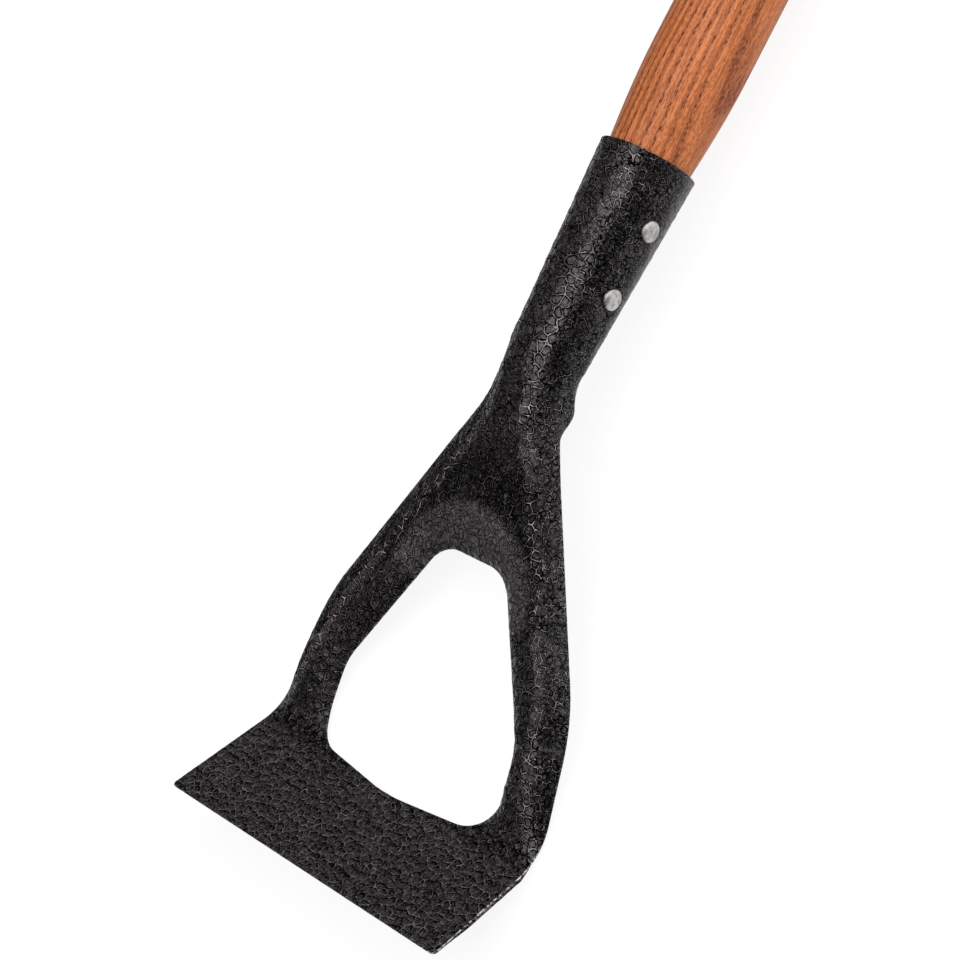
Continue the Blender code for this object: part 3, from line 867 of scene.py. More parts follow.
@dataclass(frozen=True)
class Hammering:
    """Relief of the hammered coat: dimples that meet in ridges, sizes in metres.

    The corner's reach, slope and rounding round off the dimples' corners, as shares of a
    dimple's width. A scale is how many times a noise varies per metre.
    """

    wide_dimple: float = 0.0028
    small_dimple: float = 0.0018
    blade_dimple: float = 0.0024
    ripple_size: float = 0.0010
    depth: float = 0.00009
    blade_depth: float = 0.00008
    ripple_depth: float = 0.000025
    floor_from_rim: float = 0.34
    slope_share: float = 0.5
    shallowest: float = 0.5
    depth_spread: float = 0.9
    unevenness: float = 0.88
    corner_reach: float = 0.74
    corner_slope: float = 0.8
    corner_rounding: float = 0.15
    bowl_rise: float = 2.2
    upper_side: Span = Span(-0.10, 0.25)
    wander: float = 0.0008
    wander_scale: float = 280.0
    scallop: float = 0.00034
    scallop_scale: float = 1000.0
    small_patches: Patches = Patches(75.0, Span(0.53, 0.58), 1.0)
    small_outside: float = 0.9
    tilt: float = 0.09
    swell: Noise = Noise(95.0, 1.0)
    swell_depth: float = 0.00004
    skin: float = 0.00004
    calm: float = 0.25
    calm_reach: float = 0.0016

    def cells(self, graph: Graph, place: Signal, size: float) -> tuple[Signal, ...]:
        """Dimples of one width.

        Args:
            graph: the graph that they are added to.
            place: where they are read.
            size: the dimples' width.

        Returns:
            The first five signals of Dimples, for dimples of that width.
        """
        flat = {"voronoi_dimensions": "2D"}
        inputs = {"Vector": place, "Scale": 1.0 / size, "Randomness": self.unevenness}
        edge = graph.add("ShaderNodeTexVoronoi", {**flat, "feature": "DISTANCE_TO_EDGE"}, inputs)
        own = graph.add("ShaderNodeTexVoronoi", {**flat, "feature": "F1"}, inputs)
        corner = (self.corner_reach - own["Distance"]) * self.corner_slope
        ends = {0: edge["Distance"], 1: corner, 2: self.corner_rounding}
        inside = graph.add("ShaderNodeMath", {"operation": "SMOOTH_MIN"}, ends)[0]
        bowl = (own["Distance"] * own["Distance"] * self.bowl_rise).limited()
        way = graph.vectors("SUBTRACT", own["Color"], (0.5, 0.5, 0.5))
        off = graph.vectors("SUBTRACT", place, own["Position"])
        upper = graph.parts(off)["Y"].eased(self.upper_side.low * size, self.upper_side.high * size)
        return inside, bowl, graph.parts(own["Color"])[0], graph.dot(way, off), upper

    def shifted(self, graph: Graph, place: Signal, scale: float, most: float) -> Signal:
        """A place moved this way and that by noise.

        Args:
            graph: the graph that the noise is added to.
            place: the place.
            scale: how often the noise varies per metre.
            most: the furthest that it moves the place.

        Returns:
            The moved place.
        """
        inputs = {"Vector": place, "Scale": scale, "Detail": 2.0}
        drift = graph.add("ShaderNodeTexNoise", None, inputs)["Color"]
        centred = graph.vectors("SUBTRACT", drift, (0.5, 0.5, 0.5))
        return graph.vectors("ADD", place, graph.scaled(centred, 2.0 * most))

    def read(self, graph: Graph, spot: Spot) -> Dimples:
        """The dimples at a place.

        Args:
            graph: the graph that they are added to.
            spot: the place on the sheet.

        Returns:
            The dimples' signals.
        """
        wandered = self.shifted(graph, spot.on_sheet, self.wander_scale, self.wander)
        moved = self.shifted(graph, wandered, self.scallop_scale, self.scallop)
        small = (self.small_patches.read(graph, spot.on_sheet) + spot.outside * self.small_outside).limited()
        sizes = (self.wide_dimple, self.small_dimple, self.blade_dimple)
        blended = []
        for wide, tight, fine in zip(*(self.cells(graph, moved, size) for size in sizes)):
            body = graph.mixed(Blend.VALUE, small, wide, tight)
            blended.append(graph.mixed(Blend.VALUE, spot.blade, body, fine))
        return Dimples(*blended, self.cells(graph, moved, self.ripple_size)[0])

    def hollowed(self, inside: Signal) -> Signal:
        """Share of a dimple's depth that is reached at a place inside its rim."""
        share = (inside / self.floor_from_rim).limited()
        return share * (2.0 - share)

    def sunk(self, graph: Graph, place: Signal, spot: Spot, dimples: Dimples, rim: Signal) -> Signal:
        """How far the surface is sunk, in metres.

        Args:
            graph: the graph that it is added to.
            place: the place on the finished hoe.
            spot: what is known of it from where it lies.
            dimples: the dimples there.
            rim: the distance from the sheet's nearest edge, by which the relief is calmer.

        Returns:
            The depth below the steel's own surface.
        """
        depth = self.depth + (self.blade_depth - self.depth) * spot.blade
        swell = self.swell.read(graph, place) * self.swell_depth
        form = self.slope_share * self.hollowed(dimples.inside) + (1.0 - dimples.bowl)
        main = form * depth * (self.shallowest + self.depth_spread * dimples.tone) + dimples.lean * self.tilt
        whole = main + self.hollowed(dimples.ripple) * self.ripple_depth + swell
        return self.skin + whole * (self.calm + (1.0 - self.calm) * rim.eased(0.0, self.calm_reach))


@dataclass(frozen=True)
class Zones:
    """Parts of the coat with painted shade, painted sheen and highlights, or chips, as signals from 0 to 1.
    """

    shade: Signal
    near_ridge: Signal
    saddle: Signal
    valley_shade: Signal
    verge: Signal
    chipped: Signal


@dataclass(frozen=True)
class PaintedLightAndChips:
    """Where the coat is paler, darker or chipped, in metres on the sheet, and how much there.

    The painted shade is on the outer side of the ridge, and clears up the arms, less so on the
    left, and towards their sides. A painted sheen runs along the ridge. The saddle is a painted
    highlight in a bow round the top of the opening, the valley is painted shade in the hollow
    above it, and the verge is a painted sheen on the paler side of the neck. The chips are real
    wear along the sheet's edges.
    """

    upper_arm_foot: Span = Span(0.046, 0.062)
    upper_arm_top: Span = Span(0.104, 0.122)
    upper_arm_clears: float = 0.75
    right_side: Span = Span(-0.020, 0.010)
    left_clears: float = 0.30
    fade_across: Span = Span(0.004, 0.012)
    fade_along: Span = Span(0.06, 0.12)
    fade: float = 0.75
    ridge_offset: float = 0.0006
    ridge_width: Span = Span(0.0010, 0.0042)
    ridge_in_shade: float = 0.6
    saddle_centre: float = 0.057
    saddle_inside: Span = Span(0.016, 0.021)
    saddle_outside: Span = Span(0.0295, 0.0345)
    saddle_rise: float = 0.010
    saddle_across: Span = Span(-0.022, 0.018)
    saddle_left: float = 0.62
    valley_end: Span = Span(0.044, 0.052)
    verge_across: Span = Span(0.013, 0.021)
    verge_along: Span = Span(0.12, 0.14)
    chip_across: Span = Span(0.055, 0.059)
    chip_along: Span = Span(0.004, 0.014)

    def read(self, graph: Graph, spot: Spot) -> Zones:
        """The zones at a place.

        Args:
            graph: the graph that they are added to.
            spot: the place on the sheet.

        Returns:
            The zones' signals.
        """
        beyond, along, body = spot.beyond_ridge, spot.along, 1.0 - spot.blade
        # Painted shade outside the ridge: it clears up the arms, less so on the left, and fades further out
        # from the ridge higher up the sheet.
        right = self.left_clears + (1.0 - self.left_clears) * self.right_side.rise(spot.x)
        upper_arm = self.upper_arm_foot.rise(along) * self.upper_arm_top.fall(along) * right
        fades = self.fade * self.fade_across.rise(beyond) * self.fade_along.rise(along)
        shade = spot.outside * (1.0 - fades) * (1.0 - self.upper_arm_clears * upper_arm)
        # Painted sheen along the ridge, weaker in the painted shade.
        away = graph.maths("ABSOLUTE", beyond + self.ridge_offset, 0.0)
        near_ridge = self.ridge_width.fall(away) * body * (1.0 - self.ridge_in_shade * shade)
        # A painted highlight in a bow round the top of the opening, weaker on the left, and painted shade in
        # the valley zone just outside it.
        reach = graph.length(graph.joined(spot.across, along - self.saddle_centre))
        above = along.eased(self.saddle_centre, self.saddle_centre + self.saddle_rise)
        ends = self.saddle_outside.rise(reach)
        saddle = self.saddle_inside.rise(reach) * (1.0 - ends) * above
        saddle = saddle * (self.saddle_left + (1.0 - self.saddle_left) * self.saddle_across.rise(spot.x))
        valley_shade = ends * self.valley_end.fall(reach) * above * (1.0 - spot.outside)
        # A painted sheen on the far side of the upper neck and the socket, and real chips near the sheet's
        # side edges at the blade.
        verge = self.verge_across.rise(beyond) * self.verge_along.rise(along)
        chipped = self.chip_across.rise(spot.across) * self.chip_along.fall(along)
        return Zones(shade, near_ridge, saddle, valley_shade, verge, chipped)


@dataclass(frozen=True)
class Reading:
    """A place of the coat with all that is known of it, and the graph that it is read in."""

    graph: Graph
    place: Signal
    rim: Signal
    spot: Spot
    dimples: Dimples
    zones: Zones
    mottle: Signal


@dataclass(frozen=True)
class PaleNet:
    """The pale net of ridges between the dimples, which is broken here and there: partly a paler coat on the
    crests and partly painted highlight.
    """

    rise: Span = Span(-0.014, 0.008)
    fall: Span = Span(0.010, 0.020)
    wide_areas: Noise = Noise(360.0)
    widens: float = 0.062
    stretches: Patches = Patches(420.0, Span(0.38, 0.62), 3.0, 0.6)
    whole_areas: Patches = Patches(150.0, Span(0.36, 0.62))
    least_whole: float = 0.40
    whole_gain: float = 0.60
    whole_on_blade_and_ridge: float = 0.45
    least_strength: float = 0.34
    strength_near_ridge: float = 0.66
    strength_outside: float = 0.34

    def read(self, at: Reading) -> Signal:
        """The net at a place.

        Args:
            at: the place.

        Returns:
            1 on a ridge that shines, and 0 beside it.
        """
        inside, near_ridge = at.dimples.inside, at.zones.near_ridge
        end = self.fall.high + self.widens * self.wide_areas.read(at.graph, at.place)
        crest = self.rise.rise(inside) * (1.0 - inside.eased(self.fall.low, end))
        whole = self.least_whole + self.whole_gain * self.whole_areas.read(at.graph, at.place)
        whole = (whole + self.whole_on_blade_and_ridge * (at.spot.blade + near_ridge)).limited()
        # The net is brighter near the ridge's painted sheen and in the painted shade outside it.
        strength = self.least_strength + self.strength_near_ridge * near_ridge
        strength = (strength + self.strength_outside * at.spot.outside).limited()
        return crest * self.stretches.read(at.graph, at.place) * whole * strength


@dataclass(frozen=True)
class PaintedHollowShade:
    """Painted shade in the hollows inside the dimples' rims, between the ripples, at the dimples' corners
    and in the shaded zones, with random darker mottling.
    """

    ring_rise: Span = Span(0.02, 0.06)
    ring_fall: Span = Span(0.10, 0.24)
    ring_widens_on_blade: float = 0.16
    ring_opens_on_blade: float = 0.8
    ring_patches: Patches = Patches(260.0, Span(0.28, 0.50))
    ring_depth: float = 0.95
    groove_rise: Span = Span(0.05, 0.10)
    groove_fall: Span = Span(0.14, 0.26)
    groove_patches: Patches = Patches(700.0, Span(0.42, 0.58))
    groove_depth: float = 0.50
    gap_fall: Span = Span(-0.04, -0.005)
    gap_depth: float = 0.6
    mottle_depth: float = 0.40
    shade_depth: float = 0.34
    valley_depth: float = 0.20
    verge_clears: float = 0.6
    saddle_clears: float = 0.15

    def read(self, at: Reading) -> Signal:
        """The hollows at a place.

        Args:
            at: the place.

        Returns:
            How much painted shade there is, from 0 to 1.
        """
        inside, ripple, zones = at.dimples.inside, at.dimples.ripple, at.zones
        end = self.ring_fall.high + self.ring_widens_on_blade * at.spot.blade
        ring = self.ring_rise.rise(inside) * (1.0 - inside.eased(self.ring_fall.low, end))
        # On the blade the ring's painted shade keeps to each dimple's side away from the cutting edge, as a
        # painted crescent shadow.
        ring = ring * (1.0 - self.ring_opens_on_blade * at.spot.blade * (1.0 - at.dimples.upper))
        ring = ring * self.ring_patches.read(at.graph, at.place)
        # Painted shade in the grooves between the ripples, and at the dimples' corners.
        groove = self.groove_rise.rise(ripple) * self.groove_fall.fall(ripple)
        groove = groove * self.groove_patches.read(at.graph, at.place)
        gap = self.gap_fall.fall(inside)
        marks = ring * self.ring_depth + groove * self.groove_depth + gap * self.gap_depth
        # Painted shade in the shaded zone and in the valley zone, and random darker mottling; the painted
        # sheen of the verge and the saddle clears it.
        dull = self.shade_depth * zones.shade + self.valley_depth * zones.valley_shade * (1.0 - zones.near_ridge)
        dark = (marks + dull + self.mottle_depth * (1.0 - at.mottle)).limited()
        return dark * (1.0 - self.verge_clears * zones.verge - self.saddle_clears * zones.saddle)


@dataclass(frozen=True)
class Enamel:
    """The enamel's colours between the ridges of its net, with painted sheen where it shines and painted
    shade where it is dull.
    """

    floor: tuple[float, float, float] = (0.0046, 0.0038, 0.0041)
    pale: tuple[float, float, float] = (0.0200, 0.0172, 0.0212)
    # The sheen colour is painted sheen; the groove colour is the near black of painted shade.
    sheen: tuple[float, float, float] = (0.168, 0.148, 0.158)
    groove: tuple[float, float, float] = (0.0018, 0.0017, 0.0018)
    # The contour colour is for pale lines on the ripples' rims, partly a paler coat and partly painted
    # highlight.
    contour: tuple[float, float, float] = (0.115, 0.098, 0.104)
    saddle_sheen: float = 0.60
    saddle_mottle: float = 1.20
    ridge_sheen: float = 0.56
    mottle_sheen: float = 0.21
    verge_sheen: float = 0.30
    valley_dulls: float = 0.6
    shade_darkens: float = 0.6
    contour_fall: Span = Span(0.02, 0.14)
    contour_patches: Patches = Patches(900.0, Span(0.38, 0.58))

    def read(self, at: Reading) -> Signal:
        """The enamel's colour at a place.

        Args:
            at: the place.

        Returns:
            The colour.
        """
        graph, zones = at.graph, at.zones
        # Painted sheen along the ridge, on the verge and in the saddle, lightened at random by the mottle.
        sheen = self.ridge_sheen * zones.near_ridge + self.mottle_sheen * at.mottle
        sheen = sheen * (1.0 - zones.valley_shade) + self.verge_sheen * zones.verge
        sheen = (sheen + zones.saddle * (self.saddle_sheen + self.saddle_mottle * at.mottle)).limited()
        contour = self.contour_fall.fall(at.dimples.ripple) * self.contour_patches.read(graph, at.place)
        # The valley zone's painted shade dulls the tone, and the shaded zone takes the near black of painted
        # shade.
        tone = at.dimples.tone * (1.0 - self.valley_dulls * zones.valley_shade)
        colour = graph.mixed(Blend.COLOUR, tone, self.floor, self.pale)
        colour = graph.mixed(Blend.COLOUR, zones.shade * self.shade_darkens, colour, self.groove)
        colour = graph.mixed(Blend.COLOUR, sheen, colour, self.sheen)
        return graph.mixed(Blend.COLOUR, contour, colour, self.contour)


@dataclass(frozen=True)
class Chips:
    """Small chips along the sheet's edges, where the bare steel shows."""

    bare: tuple[float, float, float] = (0.85, 0.82, 0.80)
    width: Span = Span(0.0001, 0.00042)
    least: float = 0.18
    patches: Patches = Patches(620.0, Span(0.44, 0.58), 3.0, 0.7)

    def read(self, at: Reading) -> Signal:
        """1 where the steel is bare, and 0 on the enamel."""
        share = self.least + (1.0 - self.least) * at.zones.chipped
        return self.width.fall(at.rim) * share * self.patches.read(at.graph, at.place)


@dataclass(frozen=True)
class HammeredCoat:
    """Black hammered stoving enamel on steel, whose colour also holds painted shade, painted sheen and
    painted highlights.
    """

    name: str = "Black hammered coat"
    layout: Layout = Layout()
    relief: Hammering = Hammering()
    # Where the painted shade, the painted sheen and the chips lie.
    painted_light_and_chips: PaintedLightAndChips = PaintedLightAndChips()
    net: PaleNet = PaleNet()
    hollow_shade: PaintedHollowShade = PaintedHollowShade()
    enamel: Enamel = Enamel()
    chips: Chips = Chips()
    # The ridge colours are those of the net's crests, partly a paler coat and partly painted highlight.
    ridge: tuple[float, float, float] = (0.820, 0.735, 0.765)
    warm_ridge: tuple[float, float, float] = (0.820, 0.700, 0.660)
    warm_patches: Patches = Patches(70.0, Span(0.46, 0.62))
    mottling: Patches = Patches(1300.0, Span(0.40, 0.60), 3.0, 0.7)
    gloss: float = 0.50
    bump: float = 0.8
    grain: Noise = Noise(1500.0, 2.0, 0.6)
    grain_height: float = 0.00010
    smoothest: float = 0.16
    rough_areas: Noise = Noise(700.0, 3.0)
    rough_by_area: float = 0.16
    rough_by_dimple: float = 0.06

    def material(self) -> bpy.types.Material:
        """The coat's material.

        Returns:
            The finished material.
        """
        material, graph = new_material(self.name)
        place = graph.add("ShaderNodeTexCoord")["Object"]
        flat = graph.add("ShaderNodeAttribute", {"attribute_name": "flat"})["Vector"]
        rim = graph.add("ShaderNodeAttribute", {"attribute_name": "rim"})["Fac"]
        spot = self.layout.spot(graph, place, flat)
        dimples, zones = self.relief.read(graph, spot), self.painted_light_and_chips.read(graph, spot)
        at = Reading(graph, place, rim, spot, dimples, zones, self.mottling.read(graph, place))
        lit, bare = self.net.read(at), self.chips.read(at)
        # dark is the share of painted shade, where a dull black shader stands in for the coat.
        dark = self.hollow_shade.read(at) * (1.0 - lit) * (1.0 - bare)
        warmth = self.warm_patches.read(graph, place) * (1.0 - spot.blade)
        crest = graph.mixed(Blend.COLOUR, warmth, self.ridge, self.warm_ridge)
        colour = graph.mixed(Blend.COLOUR, lit, self.enamel.read(at), crest)
        rough = self.smoothest + self.rough_by_area * self.rough_areas.read(graph, place)
        grain = self.grain.read(graph, place) * self.grain_height
        inputs = {
            "Base Color": graph.mixed(Blend.COLOUR, bare, colour, self.chips.bare),
            "Roughness": rough + self.rough_by_dimple * dimples.tone,
            "Metallic": 0.0,
            "Specular IOR Level": self.gloss,
            "Normal": graph.bump(grain - self.relief.sunk(graph, place, spot, dimples, rim) * self.bump),
        }
        # A dull black shader in the painted shade, which also hides the coat's reflections there.
        painted_shade_bsdf = graph.coloured("ShaderNodeBsdfDiffuse", self.enamel.groove)
        graph.surface(graph.either(dark, graph.principled(inputs), painted_shade_bsdf))
        return material

    def sunk(self, graph: Graph, place: Signal, flat: Signal, rim: Signal) -> Signal:
        """How far the coat's surface is sunk, in metres.

        Args:
            graph: the graph that it is added to.
            place: the place on the finished hoe.
            flat: the place on the sheet, alike on both sides.
            rim: the distance from the sheet's nearest edge.

        Returns:
            The depth below the steel's own surface.
        """
        spot = self.layout.spot(graph, place, flat)
        return self.relief.sunk(graph, place, spot, self.relief.read(graph, spot), rim)


@dataclass(frozen=True)
class OiledAsh:
    """Stained and oiled ash, whose growth rings cross the shaft from side to side."""

    name: str = "Oiled ash"
    ring: float = 0.0027
    across: tuple[float, float, float] = (0.97, 0.0, -0.23)
    sway: Grain = Grain((60.0, 11.0, 60.0))
    sway_reach: float = 0.0055
    early_fall: Span = Span(0.0, 0.42)
    early_darkens: float = 0.66
    late_rise: Span = Span(0.62, 1.0)
    late_darkens: float = 0.40
    streaks: Grain = Grain((1500.0, 60.0, 1500.0), 3.0, 0.6)
    flecks: Grain = Grain((2600.0, 700.0, 2600.0), 2.0, 0.7)
    fleck_share: float = 0.5
    pale_rise: Span = Span(0.42, 0.58)
    pore_scale: tuple[float, float, float] = (2300.0, 520.0, 2300.0)
    pore_fall: Span = Span(0.28, 0.46)
    pore_ring_rise: Span = Span(0.12, 0.55)
    pore_darkens: float = 0.95
    pale: tuple[float, float, float] = (0.90, 0.300, 0.105)
    mid: tuple[float, float, float] = (0.51, 0.138, 0.041)
    dark: tuple[float, float, float] = (0.33, 0.074, 0.023)
    pore: tuple[float, float, float] = (0.135, 0.036, 0.014)
    gloss: float = 0.34
    smoothest: float = 0.46
    streak_roughness: float = 0.14
    pore_roughness: float = 0.2
    pore_depth: float = 0.00010
    streak_depth: float = 0.00003
    early_depth: float = 0.00003

    def material(self) -> bpy.types.Material:
        """The wood's material.

        Returns:
            The finished material.
        """
        material, graph = new_material(self.name)
        place = graph.add("ShaderNodeTexCoord")["Object"]
        sway = self.sway.read(graph, place) * self.sway_reach
        ring = (graph.dot(place, self.across) + sway) / self.ring
        phase = graph.maths("FRACT", ring, 0.0)
        early, late = self.early_fall.fall(phase), self.late_rise.rise(phase)
        streaks = self.streaks.read(graph, place)
        flecks = self.flecks.read(graph, place)
        light = self.pale_rise.rise((1.0 - self.fleck_share) * streaks + self.fleck_share * flecks)
        darker = (early * self.early_darkens + late * self.late_darkens).limited()
        cells = graph.add(
            "ShaderNodeTexVoronoi",
            {"feature": "F1"},
            {"Vector": graph.vectors("MULTIPLY", place, self.pore_scale), "Scale": 1.0},
        )["Distance"]
        pores = self.pore_fall.fall(cells) * self.pore_ring_rise.rise(early)
        colour = graph.mixed(Blend.COLOUR, light, self.mid, self.pale)
        colour = graph.mixed(Blend.COLOUR, darker, colour, self.dark)
        sunk = pores * self.pore_depth + streaks * self.streak_depth + early * self.early_depth
        inputs = {
            "Base Color": graph.mixed(Blend.COLOUR, pores * self.pore_darkens, colour, self.pore),
            "Roughness": self.smoothest + self.streak_roughness * streaks + self.pore_roughness * pores,
            "Specular IOR Level": self.gloss,
            "Normal": graph.bump(0.0 - sunk),
        }
        graph.surface(graph.principled(inputs))
        return material


@dataclass(frozen=True)
class RivetSteel:
    """Bare steel of the rivets, dull from the hammer."""

    name: str = "Bare rivet steel"
    bright: tuple[float, float, float] = (0.62, 0.595, 0.575)
    dull: tuple[float, float, float] = (0.36, 0.345, 0.335)
    marks: Noise = Noise(620.0, 4.0, 0.65)
    bright_rise: Span = Span(0.35, 0.60)
    roughest: float = 0.60
    mark_smooths: float = 0.12
    mark_height: float = 0.00008

    def material(self) -> bpy.types.Material:
        """The rivets' material.

        Returns:
            The finished material.
        """
        material, graph = new_material(self.name)
        place = graph.add("ShaderNodeTexCoord")["Object"]
        marks = self.marks.read(graph, place)
        inputs = {
            "Base Color": graph.mixed(Blend.COLOUR, self.bright_rise.rise(marks), self.dull, self.bright),
            "Roughness": self.roughest - self.mark_smooths * marks,
            "Metallic": 1.0,
            "Normal": graph.bump(marks * self.mark_height),
        }
        graph.surface(graph.principled(inputs))
        return material


def finished_mesh(piece: bpy.types.Object, sharp_angle: float) -> None:
    """Apply a piece's modifiers and shade it smooth between its sharp edges.

    Args:
        piece: the piece.
        sharp_angle: the angle above which an edge stays sharp.
    """
    graph = bpy.context.evaluated_depsgraph_get()
    mesh = bpy.data.meshes.new_from_object(piece.evaluated_get(graph))
    piece.modifiers.clear()
    piece.data = mesh
    mesh.name = piece.name
    mesh.shade_smooth()
    mesh.set_sharp_from_angle(angle=sharp_angle)


def in_scene(name: str, data: bpy.types.ID) -> bpy.types.Object:
    """Put a mesh, a lamp or a camera in the scene.

    Args:
        name: the name that it gets there.
        data: the mesh, the lamp or the camera.

    Returns:
        The object in the scene.
    """
    thing = bpy.data.objects.new(name, data)
    bpy.context.collection.objects.link(thing)
    return thing


def add_form(name: str, form: bmesh.types.BMesh, move: Matrix) -> bpy.types.Object:
    """Put a form in the scene as a piece whose place is in its mesh.

    Args:
        name: the piece's name.
        form: its form, which is used up.
        move: the move from the form's own place to the piece's place on the hoe.

    Returns:
        The piece.
    """
    mesh = bpy.data.meshes.new(name)
    form.to_mesh(mesh)
    form.free()
    mesh.transform(move)
    return in_scene(name, mesh)


def drill(piece: bpy.types.Object, cutters: list[bpy.types.Object], drilling: Drilling) -> None:
    """Drill the rivets' holes through a piece, by modifiers.

    Args:
        piece: the piece.
        cutters: rods that drill the holes.
        drilling: which solver cuts them.
    """
    for cutter in cutters:
        hole = piece.modifiers.new("Hole", "BOOLEAN")
        hole.operation = "DIFFERENCE"
        hole.solver = drilling.value
        hole.object = cutter


@dataclass
class Part:
    """A part of the hoe: the CAD node that it replaces, and the record's slot of its finish."""

    node: str
    slot: str

    def dress(self, piece: bpy.types.Object, material: bpy.types.Material) -> None:
        """Give the part's piece its finish, and let it stand for the CAD node.

        Args:
            piece: the piece.
            material: its finish.
        """
        piece.data.materials.clear()
        piece.data.materials.append(material)
        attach(piece, BODY)
        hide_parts(self.node)
        LOG.info("%s: %d faces", piece.name, len(piece.data.polygons))


@dataclass
class Rivet(Part):
    """A rivet across the socket, with a low domed head on each side that the hammer has marked."""

    from_mouth: float
    shank_radius: float = 0.0022
    head_radius: float = 0.0031
    head_height: float = 0.0012
    rim_height: float = 0.0002
    clearance: float = 0.0003
    sides: int = 48
    rings: int = 10
    unevenness: float = 0.05
    dent_shift: float = 40.0
    rod_length: float = 0.0596
    sharp_angle: float = math.radians(40.0)

    def cutter(self, sheet: PressedSheet, resting: Resting) -> bpy.types.Object:
        """A rod that drills the rivet's hole.

        Args:
            sheet: the sheet that is drilled.
            resting: how the hoe lies.

        Returns:
            The rod.
        """
        form = bmesh.new()
        radius = self.shank_radius + self.clearance
        bmesh.ops.create_cone(
            form,
            cap_ends=True,
            segments=self.sides,
            radius1=radius,
            radius2=radius,
            depth=self.rod_length,
        )
        bmesh.ops.rotate(form, verts=form.verts, matrix=Matrix.Rotation(0.5 * math.pi, 3, "Y"))
        return add_form(f"{self.node}_hole", form, resting.matrix() @ sheet.socket_frame(self.from_mouth))

    def ring(self, sheet: PressedSheet, radius: float, lift: float, side: float) -> np.ndarray:
        """A ring of points of one head.

        Args:
            sheet: the sheet whose socket the head hugs.
            radius: the ring's radius.
            lift: how far it is lifted from the socket to the head's top, from 0 to 1.
            side: 1 for the head at +X and -1 for the other.

        Returns:
            The points.
        """
        turn = np.linspace(0.0, 2.0 * np.pi, self.sides, endpoint=False)
        widening = (sheet.socket_mouth_radius - sheet.socket_foot_radius) / sheet.socket_length
        seat = float(sheet.socket_radius(sheet.socket_mouth_at - self.from_mouth)) + self.clearance
        shift = self.dent_shift * self.from_mouth + side
        dents = [noise.noise(Vector((math.cos(t), math.sin(t), shift))) for t in turn]
        uneven = 1.0 + self.unevenness * np.array(dents)
        along, up = radius * uneven * np.cos(turn), radius * uneven * np.sin(turn)
        surface = np.sqrt((seat + widening * along) ** 2 - up**2)
        top = seat + self.head_height
        return np.stack([side * (surface + (top - surface) * lift), along, up], axis=-1)

    def build(self, sheet: PressedSheet, resting: Resting) -> bpy.types.Object:
        """The rivet: two heads and the shank between them.

        Args:
            sheet: the sheet whose socket it goes through.
            resting: how the hoe lies.

        Returns:
            The rivet.
        """
        rim = self.rim_height / self.head_height
        rises = np.linspace(0.0, 0.5 * math.pi, self.rings + 1)[:-1]
        heads = [(self.shank_radius, 0.0), (self.head_radius, 0.0)]
        heads += [(self.head_radius * math.cos(rise), rim + (1.0 - rim) * math.sin(rise)) for rise in rises]
        rings = [self.ring(sheet, radius, lift, 1.0) for radius, lift in reversed(heads)]
        rings += [self.ring(sheet, radius, lift, -1.0) for radius, lift in heads]
        form = bmesh.new()
        loops = [[form.verts.new(point) for point in points] for points in rings]
        for loop, after in zip(loops, loops[1:]):
            for k in range(self.sides):
                following = (k + 1) % self.sides
                form.faces.new([loop[k], loop[following], after[following], after[k]])
        for loop in (loops[0], loops[-1]):
            form.faces.new(loop)
        bmesh.ops.recalc_face_normals(form, faces=form.faces)
        piece = add_form(f"{self.node}_head", form, resting.matrix() @ sheet.socket_frame(self.from_mouth))
        finished_mesh(piece, self.sharp_angle)
        return piece


